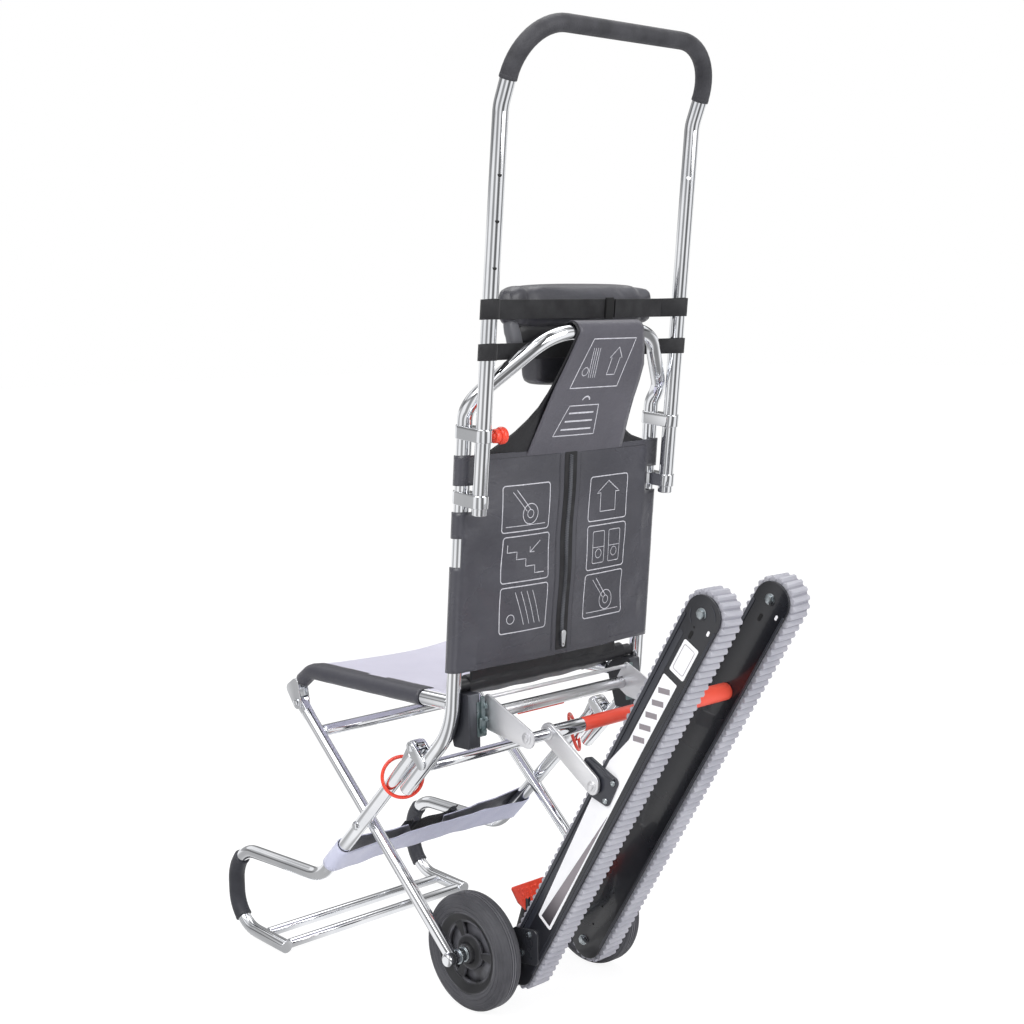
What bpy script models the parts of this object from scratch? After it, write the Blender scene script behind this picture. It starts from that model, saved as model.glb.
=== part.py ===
"""Folding transfer chair with crawler tracks, built as separate pieces in metres.

+Z is up and the sitter faces -Y. "left" is +X. Points in the side view are (y, z) pairs measured
from the floor point under the axle; the last step moves the whole chair so that its box stands
centred on the origin.
"""
import math

import bmesh
import bpy
from mathutils import Matrix, Vector


def mm(*values):
    """Millimetres to metres: one number, or a tuple of them."""
    scaled = tuple(value * 0.001 for value in values)
    return scaled[0] if len(scaled) == 1 else scaled


# Clearances
GAP = mm(0.3)
RUNNING_GAP = mm(0.4)
SIDE_GAP = mm(0.5)

# Tube and bolt stock
FRAME_R = mm(11)
LEG_R = mm(9.5)
CROSSBAR_R = mm(8)
PIN_R = mm(4)
FRAME_HALF = mm(195)
TUBE_SIDES = 12

# Back frame
UPRIGHT_LEAN = 0.1008
BACK_KNEE = mm(37.1, 448.6)
BACK_KNEE_RADIUS = mm(110)
LOWER_SLOPE = math.radians(45)
BACK_FOOT_LENGTH = mm(151)
LUG_STATION = mm(83)
CROSSBAR_STATION = mm(94)
HOOP_KINK_Z = mm(908)
HOOP_KINK_RADIUS = mm(30)
HOOP_SHOULDER_Z = mm(930)
HOOP_SHOULDER_RADIUS = mm(50)
HOOP_CROWN_HALF = mm(102)
HOOP_CROWN_RADIUS = mm(85)
HOOP_TOP = mm(166, 1018)
LOWER_SPACING = mm(31)
LOWER_OFFSET = mm(6)
LUG_R = mm(9)
LUG_WALL = mm(4)
TONGUE_END = mm(13)
SEAT_BAR = mm(37, 511.5)
SEAT_BAR_R = mm(9)
BLOCK_WIDE = mm(22)

# Handle
HANDLE_OUTSET = mm(1)
HANDLE_LEAN = 0.11435
HANDLE_FOOT_DROP = mm(20.2)
HANDLE_KINK = mm(171, 1320)
HANDLE_TOP = mm(219, 1429.6)
HANDLE_KINK_RADIUS = mm(60)
HANDLE_CORNER_RADIUS = mm(80)
GRIP_WALL = mm(1.8)
HOLE_HEIGHTS = mm(1106, 1170, 1232)
HOLE_R = mm(3.2)
HOLE_DEPTH = mm(3)

# Collars and the locking knob
COLLAR_HEIGHTS = {"upper": mm(881), "lower": mm(788.4)}
COLLAR_TALL = mm(19)
COLLAR_WALL = mm(4)
KNOB_R = mm(12.5)
KNOB_LONG = mm(14)
KNOB_NECK_R = mm(7.5)
KNOB_DROP = mm(4)

# Back cover
COVER_BOTTOM = mm(536)
COVER_TOP = mm(850)
COVER_THICK = mm(2)
COVER_BULGE = mm(8)
COVER_WINDOW_DROPS = mm(98.4, 56.4)
TONGUE_HALF = mm(69.5)
ZIP_HALF = mm(5)
ZIP_ENDS = mm(545, 838)
PULLER_TALL = mm(26)

# Headrest
HEADREST_HALF = mm(163)
HEADREST_Z = mm(1035, 1090)
HEADREST_FRONT = mm(60)
NECK_HALF = mm(76)
NECK_Z = mm(943, 1006)
NECK_FRONT = mm(54)
STRAP_THICK = mm(2.2)
STRAP_Z = {"upper": mm(1038, 1065.5), "lower": mm(982, 1005)}
STRAP_SAG = mm(12)

# Seat
SEAT_PIVOT = mm(20, 480)
SEAT_FRONT = mm(-330, 482)
SEAT_END = mm(-376, 449)
SEAT_BEND_RADIUS = mm(32)
SEAT_COVER_THICK = mm(1.1)
SEAT_COVER_ROOM = mm(2.1)
SEAT_SAG = mm(9)
TONGUE_THICK = mm(12)

# Legs and wheels
AXLE = mm(0, 90)
LEG_TOP = mm(-358, 428)
LEG_BAR_STATION = mm(62)
AXLE_R = mm(8)
WHEEL_R = mm(90)
WHEEL_SPACER = mm(14.3)
WHEEL_WIDE = mm(39.2)
TYRE_SHOULDER = mm(12)
RIM_R = mm(63)
HUB_R = mm(17)
WEB_THICK = mm(7)

# Lower frame
LOWER_KNEE_STATION = mm(357.4)
LOWER_KNEE_RADIUS = mm(60)
LOOP_TOP = mm(-532, 155.2)
LOOP_BOTTOM = mm(-532, 20.5)
LOOP_RADIUS = mm(60)
FOOT_OUTSET = mm(3)
REAR_BAR = mm(-392, 11)
FRONT_BAR_Y = mm(-459)
FOOT_BAR_R = mm(8)
SLEEVE_WALL = mm(2.8)
CALF_STATIONS = mm(266, 320)
CALF_THICK = mm(2)
CALF_FLAP_ENDS = mm(61, 21, -14, -39)
FASTENER_X = mm(-46, 66)
FASTENER_STATIONS = mm(250, 318)
RING_R = mm(30.6)
RING_WIRE = mm(2.8)
RING_INSET = mm(8.9)
RING_AHEAD = mm(5.27)
RING_ABOVE = mm(23.05)
RING_NORMAL = (0.611, 0.746, 0.265)

# Tracks, in their own axes: station along the track from the axle, offset behind its centreline
TRACK_LEAN = math.radians(32.5)
TRACK_SETBACK = mm(60.8)
TRACK_START = mm(17)
TRACK_CENTRES = mm(680)
TRACK_TO_WHEEL = mm(16)
TRACK_WIDE = mm(44)
PLATE_THICK = mm(3.5)
PLATE_R = mm(33)
PANEL_STATIONS = mm(112, 583)
PANEL_OFFSETS = mm(-15.8, 29)
PANEL_DEPTH = mm(1)
BELT_INNER_R = mm(31)
BELT_OUTER_R = mm(35.5)
ROLLER_BOLT_R = mm(5)
CROSS_TUBE_AT = mm(539.6, 4.5)
CROSS_TUBE_R = mm(12.5)
BRACKET_THICK = mm(4)
BRACKET_CORNERS = [(mm(389.6, -54), mm(6)), (mm(394.7, -49), mm(6)), (mm(398.4, 0), mm(7.5)),
                   (mm(365.4, 3), mm(7)), (mm(356.7, -25), mm(6))]

# Arm, knuckle and links
ARM_PIVOT = mm(55, 466)
KNUCKLE = mm(146, 446)
LINK_END = mm(231, 383)
ARM_ROOM = mm(11.7)
ARM_THICK = mm(3)
ARM_TIP_R = mm(15)
ARM_TUBE_R = mm(9.3)
SHAFT_R = mm(7)
SHAFT_COLLAR_R = mm(10.5)
SHAFT_COLLAR_LONG = mm(14.5)
LINK_ROOM = mm(7.5)
LINK_THICK = mm(5)
GRIP_LONG = mm(120)
GRIP_R = mm(10.5)

# Pedal
PEDAL_CORNERS = [mm(-9, 169), mm(55, 169), mm(43, 146), mm(27, 129)]
PEDAL_CORNER_R = mm(3)
PEDAL_Y = mm(8, 11.5)
PEDAL_ARM_X = mm(21, 31)

# Places that follow from the sizes above
HANDLE_HALF = FRAME_HALF + HANDLE_OUTSET
HANDLE_FOOT_Z = COLLAR_HEIGHTS["lower"] - HANDLE_FOOT_DROP
HANDLE_FOOT = (HANDLE_KINK[0] - HANDLE_LEAN * (HANDLE_KINK[1] - HANDLE_FOOT_Z), HANDLE_FOOT_Z)
FOOT_HALF = FRAME_HALF + FOOT_OUTSET
LEG_HALF = FRAME_HALF - FRAME_R - SIDE_GAP - LEG_R
SEAT_HALF = FRAME_HALF - 2 * FRAME_R - SEAT_COVER_ROOM
BLOCK_OUTER = FRAME_HALF - FRAME_R - GAP
BLOCK_INNER = BLOCK_OUTER - BLOCK_WIDE
ARM_HALF = BLOCK_INNER - ARM_ROOM
WHEEL_INNER_X = LEG_HALF - LEG_R - WHEEL_SPACER - WHEEL_WIDE
TRACK_X = (WHEEL_INNER_X - TRACK_TO_WHEEL - TRACK_WIDE, WHEEL_INNER_X - TRACK_TO_WHEEL)
LINK_X = TRACK_X[1] + LINK_ROOM
GRIP_START = -(LINK_X - SHAFT_COLLAR_LONG - mm(6))
LOWER_DIR = (-math.cos(LOWER_SLOPE), -math.sin(LOWER_SLOPE))
LOWER_NORMAL = (-math.sin(LOWER_SLOPE), math.cos(LOWER_SLOPE))
TRACK_DIR = (math.sin(TRACK_LEAN), math.cos(TRACK_LEAN))
TRACK_NORMAL = (math.cos(TRACK_LEAN), -math.sin(TRACK_LEAN))


def along(start, direction, distance, normal=(0, 0), offset=0.0):
    """Point in the side view, some way along a direction and some way off it."""
    return (start[0] + direction[0] * distance + normal[0] * offset,
            start[1] + direction[1] * distance + normal[1] * offset)


def snug(radius, gap, thickness, step):
    """Radius of a sheet's middle so that its flat facets, step degrees apart, clear a tube."""
    return (radius + gap + thickness / 2) / math.cos(math.radians(step / 2))


def roomy(radius, gap, sides=TUBE_SIDES):
    """Bore radius whose flat sides clear a round tube."""
    return (radius + gap) / math.cos(math.pi / sides)


def upright_y(z):
    """Centre of the back uprights at a height."""
    return BACK_KNEE[0] + UPRIGHT_LEAN * (z - BACK_KNEE[1])


def handle_y(z):
    """Centre of the handle tubes at a height, below the kink."""
    return HANDLE_KINK[0] + HANDLE_LEAN * (z - HANDLE_KINK[1])


def track_point(station, offset):
    """Side-view point from a station along the track and an offset behind its centreline."""
    return along(AXLE, TRACK_DIR, station, TRACK_NORMAL, TRACK_SETBACK + offset)


LUG_FOOT = along(BACK_KNEE, LOWER_DIR, LUG_STATION)
LOWER_PIVOT = along(LUG_FOOT, LOWER_NORMAL, LOWER_SPACING)
LOWER_ORIGIN = along(LOWER_PIVOT, LOWER_NORMAL, -LOWER_OFFSET)
LOWER_KNEE = along(LOWER_ORIGIN, LOWER_DIR, LOWER_KNEE_STATION)
BACK_FOOT = along(BACK_KNEE, LOWER_DIR, BACK_FOOT_LENGTH)
RING_CENTRE = along(BACK_FOOT, LOWER_DIR, RING_AHEAD, LOWER_NORMAL, RING_ABOVE)

MATERIALS = {
    "chrome": ((0.74, 0.75, 0.77), 0.12, 1.0),
    "silver": ((0.62, 0.63, 0.65), 0.32, 1.0),
    "black_paint": ((0.012, 0.012, 0.014), 0.38, 0.0),
    "black_plastic": ((0.018, 0.018, 0.02), 0.5, 0.0),
    "grip_rubber": ((0.014, 0.014, 0.015), 0.7, 0.0),
    "tyre": ((0.075, 0.075, 0.085), 0.75, 0.0),
    "rim": ((0.02, 0.02, 0.023), 0.55, 0.0),
    "belt": ((0.27, 0.27, 0.31), 0.7, 0.0),
    "cover": ((0.07, 0.07, 0.078), 0.5, 0.0),
    "webbing": ((0.01, 0.01, 0.011), 0.85, 0.0),
    "seat": ((0.5, 0.5, 0.6), 0.6, 0.0),
    "calf": ((0.42, 0.43, 0.47), 0.55, 0.0),
    "red": ((0.8, 0.065, 0.04), 0.4, 0.0),
}


def clear_scene():
    for item in list(bpy.data.objects):
        bpy.data.objects.remove(item, do_unlink=True)


def material(name):
    """Principled material for one of the finishes listed above."""
    found = bpy.data.materials.get(name)
    if found:
        return found
    colour, roughness, metallic = MATERIALS[name]
    made = bpy.data.materials.new(name)
    made.use_nodes = True
    shader = made.node_tree.nodes["Principled BSDF"]
    shader.inputs["Base Color"].default_value = (*colour, 1.0)
    shader.inputs["Roughness"].default_value = roughness
    shader.inputs["Metallic"].default_value = metallic
    made.diffuse_color = (*colour, 1.0)
    return made


def pivot(name, place, parent=None):
    """Empty on a joint's axis; its pieces hang from it."""
    empty = bpy.data.objects.new(name, None)
    empty.empty_display_size = mm(30)
    bpy.context.scene.collection.objects.link(empty)
    origin = parent["place"] if parent else (0.0, 0.0, 0.0)
    empty["place"] = tuple(place)
    empty.location = Vector(place) - Vector(origin)
    empty.parent = parent
    return empty


def piece(name, solid, finish, parent=None):
    """Turn a bmesh made in chair coordinates into one named object on its pivot."""
    bmesh.ops.recalc_face_normals(solid, faces=solid.faces[:])
    origin = Vector(parent["place"]) if parent else Vector((0, 0, 0))
    bmesh.ops.translate(solid, vec=-origin, verts=solid.verts[:])
    mesh = bpy.data.meshes.new(name)
    solid.to_mesh(mesh)
    solid.free()
    mesh.materials.append(material(finish))
    mesh.shade_smooth()
    mesh.set_sharp_from_angle(angle=math.radians(38))
    made = bpy.data.objects.new(name, mesh)
    bpy.context.scene.collection.objects.link(made)
    made.parent = parent
    return made


def evaluated(solid, modifier_type, settings):
    """Run one modifier on a bmesh and give back the result as a new bmesh."""
    mesh = bpy.data.meshes.new("work")
    solid.to_mesh(mesh)
    solid.free()
    work = bpy.data.objects.new("work", mesh)
    bpy.context.scene.collection.objects.link(work)
    modifier = work.modifiers.new("work", modifier_type)
    for key, value in settings.items():
        setattr(modifier, key, value)
    graph = bpy.context.evaluated_depsgraph_get()
    result = bmesh.new()
    result.from_object(work, graph)
    bpy.data.objects.remove(work, do_unlink=True)
    return result


def combine(base, tools, operation):
    """Join solids to the base, or cut them out of it, one after another."""
    for tool in tools:
        bmesh.ops.recalc_face_normals(base, faces=base.faces[:])
        bmesh.ops.recalc_face_normals(tool, faces=tool.faces[:])
        mesh = bpy.data.meshes.new("tool")
        tool.to_mesh(mesh)
        tool.free()
        cutter = bpy.data.objects.new("tool", mesh)
        bpy.context.scene.collection.objects.link(cutter)
        base = evaluated(base, "BOOLEAN", {"object": cutter, "operation": operation, "solver": "EXACT"})
        bpy.data.objects.remove(cutter, do_unlink=True)
    return base


def join(base, *tools):
    return combine(base, tools, "UNION")


def cut(base, *tools):
    return combine(base, tools, "DIFFERENCE")


def rounded(points, radii, steps=3):
    """Line through points whose inner corners are replaced by arcs of the given radii."""
    points = [Vector(point) for point in points]
    path = [points[0]]
    for before, corner, after, radius in zip(points, points[1:], points[2:], radii):
        arm_in = (before - corner).normalized()
        arm_out = (after - corner).normalized()
        half = arm_in.angle(arm_out) / 2
        centre = corner + (arm_in + arm_out).normalized() * (radius / math.sin(half))
        start = corner + arm_in * (radius / math.tan(half)) - centre
        end = corner + arm_out * (radius / math.tan(half)) - centre
        axis = start.cross(end)
        for step in range(steps + 1):
            turn = Matrix.Rotation(start.angle(end) * step / steps, 3, axis)
            path.append(centre + turn @ start)
    path.append(points[-1])
    return path


def mirrored(path):
    """The path on the +X side followed by its mirror image, as one line from left to right."""
    return path + [Vector((-point.x, point.y, point.z)) for point in reversed(path)]


def in_plane(x, *points):
    """Side-view points placed in the plane at one x."""
    return [Vector((x, y, z)) for y, z in points]


def frames(path):
    """Two axes across the path at each point, carried along without twist."""
    tangents = []
    for index in range(len(path)):
        before = path[max(index - 1, 0)]
        after = path[min(index + 1, len(path) - 1)]
        tangents.append((after - before).normalized())
    across = tangents[0].orthogonal().normalized()
    result = []
    for tangent in tangents:
        across = (across - tangent * across.dot(tangent)).normalized()
        result.append((tangent, across, tangent.cross(across)))
    return result


def ring_of(solid, centre, across, up, radius, sides):
    turns = [2 * math.pi * index / sides for index in range(sides)]
    return [solid.verts.new(centre + radius * (math.cos(turn) * across + math.sin(turn) * up))
            for turn in turns]


def bridge(solid, ring_a, ring_b):
    count = len(ring_a)
    for index in range(count):
        after = (index + 1) % count
        solid.faces.new((ring_a[index], ring_a[after], ring_b[after], ring_b[index]))


def tube(path, radius, sides=TUBE_SIDES, bore=0.0, domed=False, part=slice(None)):
    """Round bar, or pipe with a bore, carried along a path or part of it; domed ends are half balls."""
    solid = bmesh.new()
    axes = frames(path)[part]
    path = path[part]
    stations = [(point, radius, across, up) for point, (_, across, up) in zip(path, axes)]
    if domed:
        start = []
        end = []
        for angle in (math.radians(60), math.radians(30)):
            shrink = radius * math.cos(angle)
            reach = radius * math.sin(angle)
            start.append((path[0] - axes[0][0] * reach, shrink, axes[0][1], axes[0][2]))
            end.insert(0, (path[-1] + axes[-1][0] * reach, shrink, axes[-1][1], axes[-1][2]))
        stations = start + stations + end
    rings = [ring_of(solid, point, across, up, size, sides) for point, size, across, up in stations]
    for ring_a, ring_b in zip(rings, rings[1:]):
        bridge(solid, ring_a, ring_b)
    if bore:
        inner = [ring_of(solid, point, across, up, bore, sides) for point, _, across, up in stations]
        for ring_a, ring_b in zip(inner, inner[1:]):
            bridge(solid, ring_b, ring_a)
        bridge(solid, inner[0], rings[0])
        bridge(solid, rings[-1], inner[-1])
    else:
        solid.faces.new(rings[0])
        solid.faces.new(rings[-1])
    return solid


def bar(x0, x1, point, radius, sides=TUBE_SIDES, bore=0.0):
    """Round bar across the chair."""
    return tube(in_plane(x0, point) + in_plane(x1, point), radius, sides, bore)


def turned(profile, centre, sides=24, closed=False):
    """Turned solid about the line across the chair through a side-view point.

    The profile is (x, radius) pairs; a closed profile is the section of a ring.
    """
    solid = bmesh.new()
    across = Vector((0, 1, 0))
    up = Vector((0, 0, 1))
    rings = [ring_of(solid, Vector((x, *centre)), across, up, radius, sides) for x, radius in profile]
    for ring_a, ring_b in zip(rings, rings[1:]):
        bridge(solid, ring_a, ring_b)
    if closed:
        bridge(solid, rings[-1], rings[0])
    else:
        solid.faces.new(rings[0])
        solid.faces.new(rings[-1])
    return solid


def circle(point, radius, sides=14):
    turns = [2 * math.pi * index / sides for index in range(sides)]
    return [(point[0] + radius * math.cos(turn), point[1] + radius * math.sin(turn)) for turn in turns]


def hull(*circles, sides=16):
    """Outline of a cord pulled tight round circles given as (point, radius)."""
    points = sorted({pair for point, radius in circles for pair in circle(point, radius, sides)})
    chains = []
    for ordered in (points, points[::-1]):
        chain = []
        for point in ordered:
            while len(chain) > 1:
                (ay, az), (by, bz) = chain[-2:]
                if (by - ay) * (point[1] - az) - (bz - az) * (point[0] - ay) > 0:
                    break
                chain.pop()
            chain.append(point)
        chains += chain[:-1]
    return chains


def side_view(a, b, depth):
    return Vector((depth, a, b))


def front_view(a, b, depth):
    return Vector((a, depth, b))


def prism(outline, low, high, holes=(), place=side_view):
    """Flat plate: an outline with holes, carried from one depth to another."""
    solid = bmesh.new()
    edges = []
    for loop in (outline, *holes):
        verts = [solid.verts.new(place(a, b, low)) for a, b in loop]
        edges += [solid.edges.new((verts[index - 1], verts[index])) for index in range(len(verts))]
    bmesh.ops.triangle_fill(solid, use_beauty=True, edges=edges)
    grown = bmesh.ops.extrude_face_region(solid, geom=solid.faces[:])
    top = [item for item in grown["geom"] if isinstance(item, bmesh.types.BMVert)]
    bmesh.ops.translate(solid, vec=place(0, 0, high) - place(0, 0, low), verts=top)
    return solid


def sheet(rows, thickness, keep=None):
    """Fabric: a grid of points with half its thickness on each side."""
    solid = bmesh.new()
    grid = [[solid.verts.new(point) for point in row] for row in rows]
    for i in range(len(grid) - 1):
        for j in range(len(grid[0]) - 1):
            if keep is None or keep(i, j):
                solid.faces.new((grid[i][j], grid[i][j + 1], grid[i + 1][j + 1], grid[i + 1][j]))
    loose = [vert for vert in solid.verts if not vert.link_faces]
    bmesh.ops.delete(solid, geom=loose, context="VERTS")
    return evaluated(solid, "SOLIDIFY", {"thickness": thickness, "offset": 0.0, "use_even_offset": True})


def cushion(x_half, y_range, z_range):
    """Soft pad: a box whose edges and corners pull in."""
    solid = bmesh.new()
    bmesh.ops.create_cube(solid, size=2.0)
    bmesh.ops.subdivide_edges(solid, edges=solid.edges[:], cuts=3, use_grid_fill=True)
    mid_y = sum(y_range) / 2
    mid_z = sum(z_range) / 2
    half_y = (y_range[1] - y_range[0]) / 2
    half_z = (z_range[1] - z_range[0]) / 2
    for vert in solid.verts:
        a, b, c = vert.co
        pull = 1 - 0.12 * (a ** 4 * c ** 4 + a ** 4 * b ** 4 + b ** 4 * c ** 4)
        vert.co = (a * x_half * pull, mid_y + b * half_y * pull, mid_z + c * half_z * pull)
    return solid


def sides():
    """The two sides of the chair: a name and the sign of x."""
    return (("left", 1), ("right", -1))


def span(side, low, high):
    """An x range on one side, low first."""
    return (low, high) if side > 0 else (-high, -low)


def build_back_frame():
    """Hoop with its pivot lugs, crossbars, hinge blocks and collars: the chair's fixed body."""
    kink = (upright_y(HOOP_KINK_Z), HOOP_KINK_Z)
    share = (HOOP_SHOULDER_Z - HOOP_KINK_Z) / (HOOP_TOP[1] - HOOP_KINK_Z)
    shoulder = (kink[0] + (HOOP_TOP[0] - kink[0]) * share, HOOP_SHOULDER_Z)
    line = in_plane(FRAME_HALF, BACK_FOOT, BACK_KNEE, kink, shoulder)
    line += in_plane(HOOP_CROWN_HALF, HOOP_TOP) + in_plane(0, HOOP_TOP)
    radii = [BACK_KNEE_RADIUS, HOOP_KINK_RADIUS, HOOP_SHOULDER_RADIUS, HOOP_CROWN_RADIUS]
    hoop = tube(mirrored(rounded(line, radii)[:-1]), FRAME_R, domed=True)
    tongue_half = FRAME_R - LUG_WALL / 2
    lugs = []
    for _, side in sides():
        for inner in (FRAME_HALF + tongue_half, FRAME_HALF - tongue_half - LUG_WALL):
            wall = span(side, inner, inner + LUG_WALL)
            lugs.append(prism(hull((LOWER_PIVOT, LUG_R), (LUG_FOOT, LUG_R)), *wall))
        lug_face = FRAME_HALF + tongue_half + LUG_WALL
        bolt = [(FRAME_HALF - tongue_half - mm(1), PIN_R), (lug_face - mm(1), PIN_R),
                (lug_face - mm(1), PIN_R * 1.6), (lug_face + mm(2.5), PIN_R * 1.6)]
        lugs.append(turned([(side * x, radius) for x, radius in bolt], LOWER_PIVOT, 12))
    piece("back_hoop", join(hoop, *lugs), "chrome")
    reach = FRAME_HALF - tongue_half - LUG_WALL - GAP
    crossbar = along(BACK_KNEE, LOWER_DIR, CROSSBAR_STATION)
    piece("back_crossbar", bar(-reach, reach, crossbar, CROSSBAR_R), "chrome")
    reach = FRAME_HALF - FRAME_R - GAP
    piece("seat_rear_bar", bar(-reach, reach, SEAT_BAR, SEAT_BAR_R), "webbing")


def build_hinge_blocks():
    """Black blocks inside the uprights: a fork for the seat tube and a pin for the arm plate."""
    top = SEAT_BAR[1] - SEAT_BAR_R - SIDE_GAP
    bottom = mm(421)
    front = mm(27)
    back = mm(61)
    corner = mm(3)
    eye = mm(9)
    ear = (BLOCK_OUTER - BLOCK_INNER - TONGUE_THICK) / 2 - RUNNING_GAP
    root = SEAT_PIVOT[0] + eye + mm(1.5) + SIDE_GAP
    levels = (bottom + corner, top - corner)
    corners = [((y, z), corner) for y in (front + corner, back - corner) for z in levels]
    for name, side in sides():
        core = [((y, z), corner) for y in (root + corner, back - corner) for z in levels]
        body = prism(hull(*core, sides=8), *span(side, BLOCK_INNER, BLOCK_OUTER))
        cheeks = []
        for inner in (BLOCK_INNER, BLOCK_OUTER - ear):
            outline = hull((SEAT_PIVOT, eye), *corners, sides=12)
            cheeks.append(prism(outline, *span(side, inner, inner + ear)))
        seat_pin = bar(*span(side, BLOCK_INNER + GAP, BLOCK_OUTER - GAP), SEAT_PIVOT, PIN_R)
        arm_pin_end = ARM_HALF - ARM_THICK
        washer = bar(*span(side, ARM_HALF + GAP, BLOCK_INNER + GAP), ARM_PIVOT, mm(5.5), 16)
        arm_pin = bar(*span(side, arm_pin_end, ARM_HALF + mm(1)), ARM_PIVOT, PIN_R)
        piece(f"hinge_block_{name}", join(body, *cheeks, seat_pin, washer, arm_pin), "black_plastic")


def build_collars():
    """Double collars: two bores in one block, round the upright and round the handle tube."""
    for level, height in COLLAR_HEIGHTS.items():
        axis = Vector((0, (HANDLE_LEAN + UPRIGHT_LEAN) / 2, 1)).normalized()
        depth = Vector((0, axis.z, -axis.y))

        def tilted(a, b, c):
            return Vector((a, 0, height)) + depth * b + axis * c

        for name, side in sides():
            upright = (side * FRAME_HALF, upright_y(height) * axis.z)
            pipe = (side * HANDLE_HALF, handle_y(height) * axis.z)
            drop = [-(y * -axis.y) for y in (upright[1], pipe[1])]
            bore = FRAME_R + RUNNING_GAP
            block = prism(hull((upright, bore + COLLAR_WALL), (pipe, bore + COLLAR_WALL)),
                          -COLLAR_TALL / 2 + sum(drop) / 2, COLLAR_TALL / 2 + sum(drop) / 2,
                          holes=(circle(upright, bore, 16), circle(pipe, bore, 16)), place=tilted)
            piece(f"collar_{level}_{name}", block, "silver")


def build_knob():
    """Sprung pin with a round knob, on the inboard side of the upper left collar."""
    height = COLLAR_HEIGHTS["upper"] - KNOB_DROP
    slant = abs(HANDLE_OUTSET) * PIN_R / (handle_y(height) - upright_y(height))
    start = HANDLE_HALF - FRAME_R - RUNNING_GAP - COLLAR_WALL - GAP - slant
    point = (handle_y(height), height)
    centre = pivot("knob_pivot", (start, *point))
    neck_end = start - mm(12)
    profile = [(start, PIN_R), (start - mm(5), PIN_R), (start - mm(5), KNOB_NECK_R), (neck_end, KNOB_NECK_R),
               (neck_end, KNOB_R * 0.8), (neck_end - mm(3), KNOB_R), (neck_end - KNOB_LONG + mm(4), KNOB_R),
               (neck_end - KNOB_LONG, KNOB_R * 0.7)]
    piece("lock_knob", turned(profile, point, 20), "red", centre)


def cover_y(x, z):
    """Middle surface of the back cover: behind the uprights, bulging towards the middle."""
    swell = 1 - min(abs(x) / FRAME_HALF, 1.0) ** 2
    return upright_y(z) + snug(FRAME_R, GAP, COVER_THICK, 30) + COVER_BULGE * swell


def build_back_cover():
    """Coated fabric laced round the uprights, with openings for the collars and the tube."""
    half_wall = snug(FRAME_R, GAP, COVER_THICK, 30)
    wrap = [math.radians(angle) for angle in (-60, -30, 0, 30, 60)]
    edge = FRAME_HALF - FRAME_R - mm(6)
    flat = [edge * share for share in (1.0, 0.73, 0.48, 0.23)]
    collar = COLLAR_HEIGHTS["lower"]
    window = [collar - drop for drop in COVER_WINDOW_DROPS]
    levels = [COVER_BOTTOM + (window[0] - COVER_BOTTOM) * share for share in (0.0, 0.42, 0.74)]
    levels += [*window, collar - COLLAR_TALL, collar + COLLAR_TALL, COVER_TOP]
    rows = []
    for z in levels:
        left = [Vector((FRAME_HALF + half_wall * math.cos(a), upright_y(z) + half_wall * math.sin(a), z))
                for a in wrap]
        left.append(Vector((FRAME_HALF, cover_y(FRAME_HALF, z), z)))
        left += [Vector((x, cover_y(x, z), z)) for x in flat]
        right = [Vector((-point.x, point.y, point.z)) for point in reversed(left)]
        rows.append(left + [Vector((0, cover_y(0, z), z))] + right)
    last = len(rows[0]) - 2

    def keep(i, j):
        inward = min(j, last - j)
        if levels[i] == window[0]:
            return inward > 3
        if levels[i] == collar - COLLAR_TALL:
            return inward > 5
        return True

    piece("back_cover", sheet(rows, COVER_THICK, keep), "cover")
    build_yoke()
    build_zip()


def build_yoke():
    """Upper cover: concave sides up to a tongue that goes over the top of the hoop."""
    hoop = HOOP_TOP
    around = snug(FRAME_R, mm(2), COVER_THICK, 45)
    start_z = COVER_TOP - mm(6)
    lift = COVER_THICK + GAP
    line = math.atan2(hoop[1] - start_z, hoop[0] + around - cover_y(0, start_z) - lift)
    turns = [line - math.pi / 2 + math.radians(step) for step in (0, 45, 90, 135, 180)]
    loop = [(hoop[0] + around * math.cos(turn), hoop[1] + around * math.sin(turn)) for turn in turns]
    fractions = (0.0, 0.12, 0.25, 0.4, 0.6, 0.8)
    hem = FRAME_HALF - FRAME_R - mm(8)
    waist = [TONGUE_HALF + (hem - TONGUE_HALF) * share for share in (1.0, 0.756, 0.455, 0.174, 0.0, 0.0)]
    columns = [step / 6 for step in range(-6, 7)]
    rows = []
    for fraction, half in zip(fractions, waist):
        row = []
        for column in columns:
            x = column * half
            y0 = cover_y(x, start_z) + lift
            row.append(Vector((x, y0 + (loop[0][0] - y0) * fraction,
                               start_z + (loop[0][1] - start_z) * fraction)))
        rows.append(row)
    rows += [[Vector((column * TONGUE_HALF, y, z)) for column in columns] for y, z in loop]
    piece("back_yoke", sheet(rows, COVER_THICK), "cover")


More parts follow.
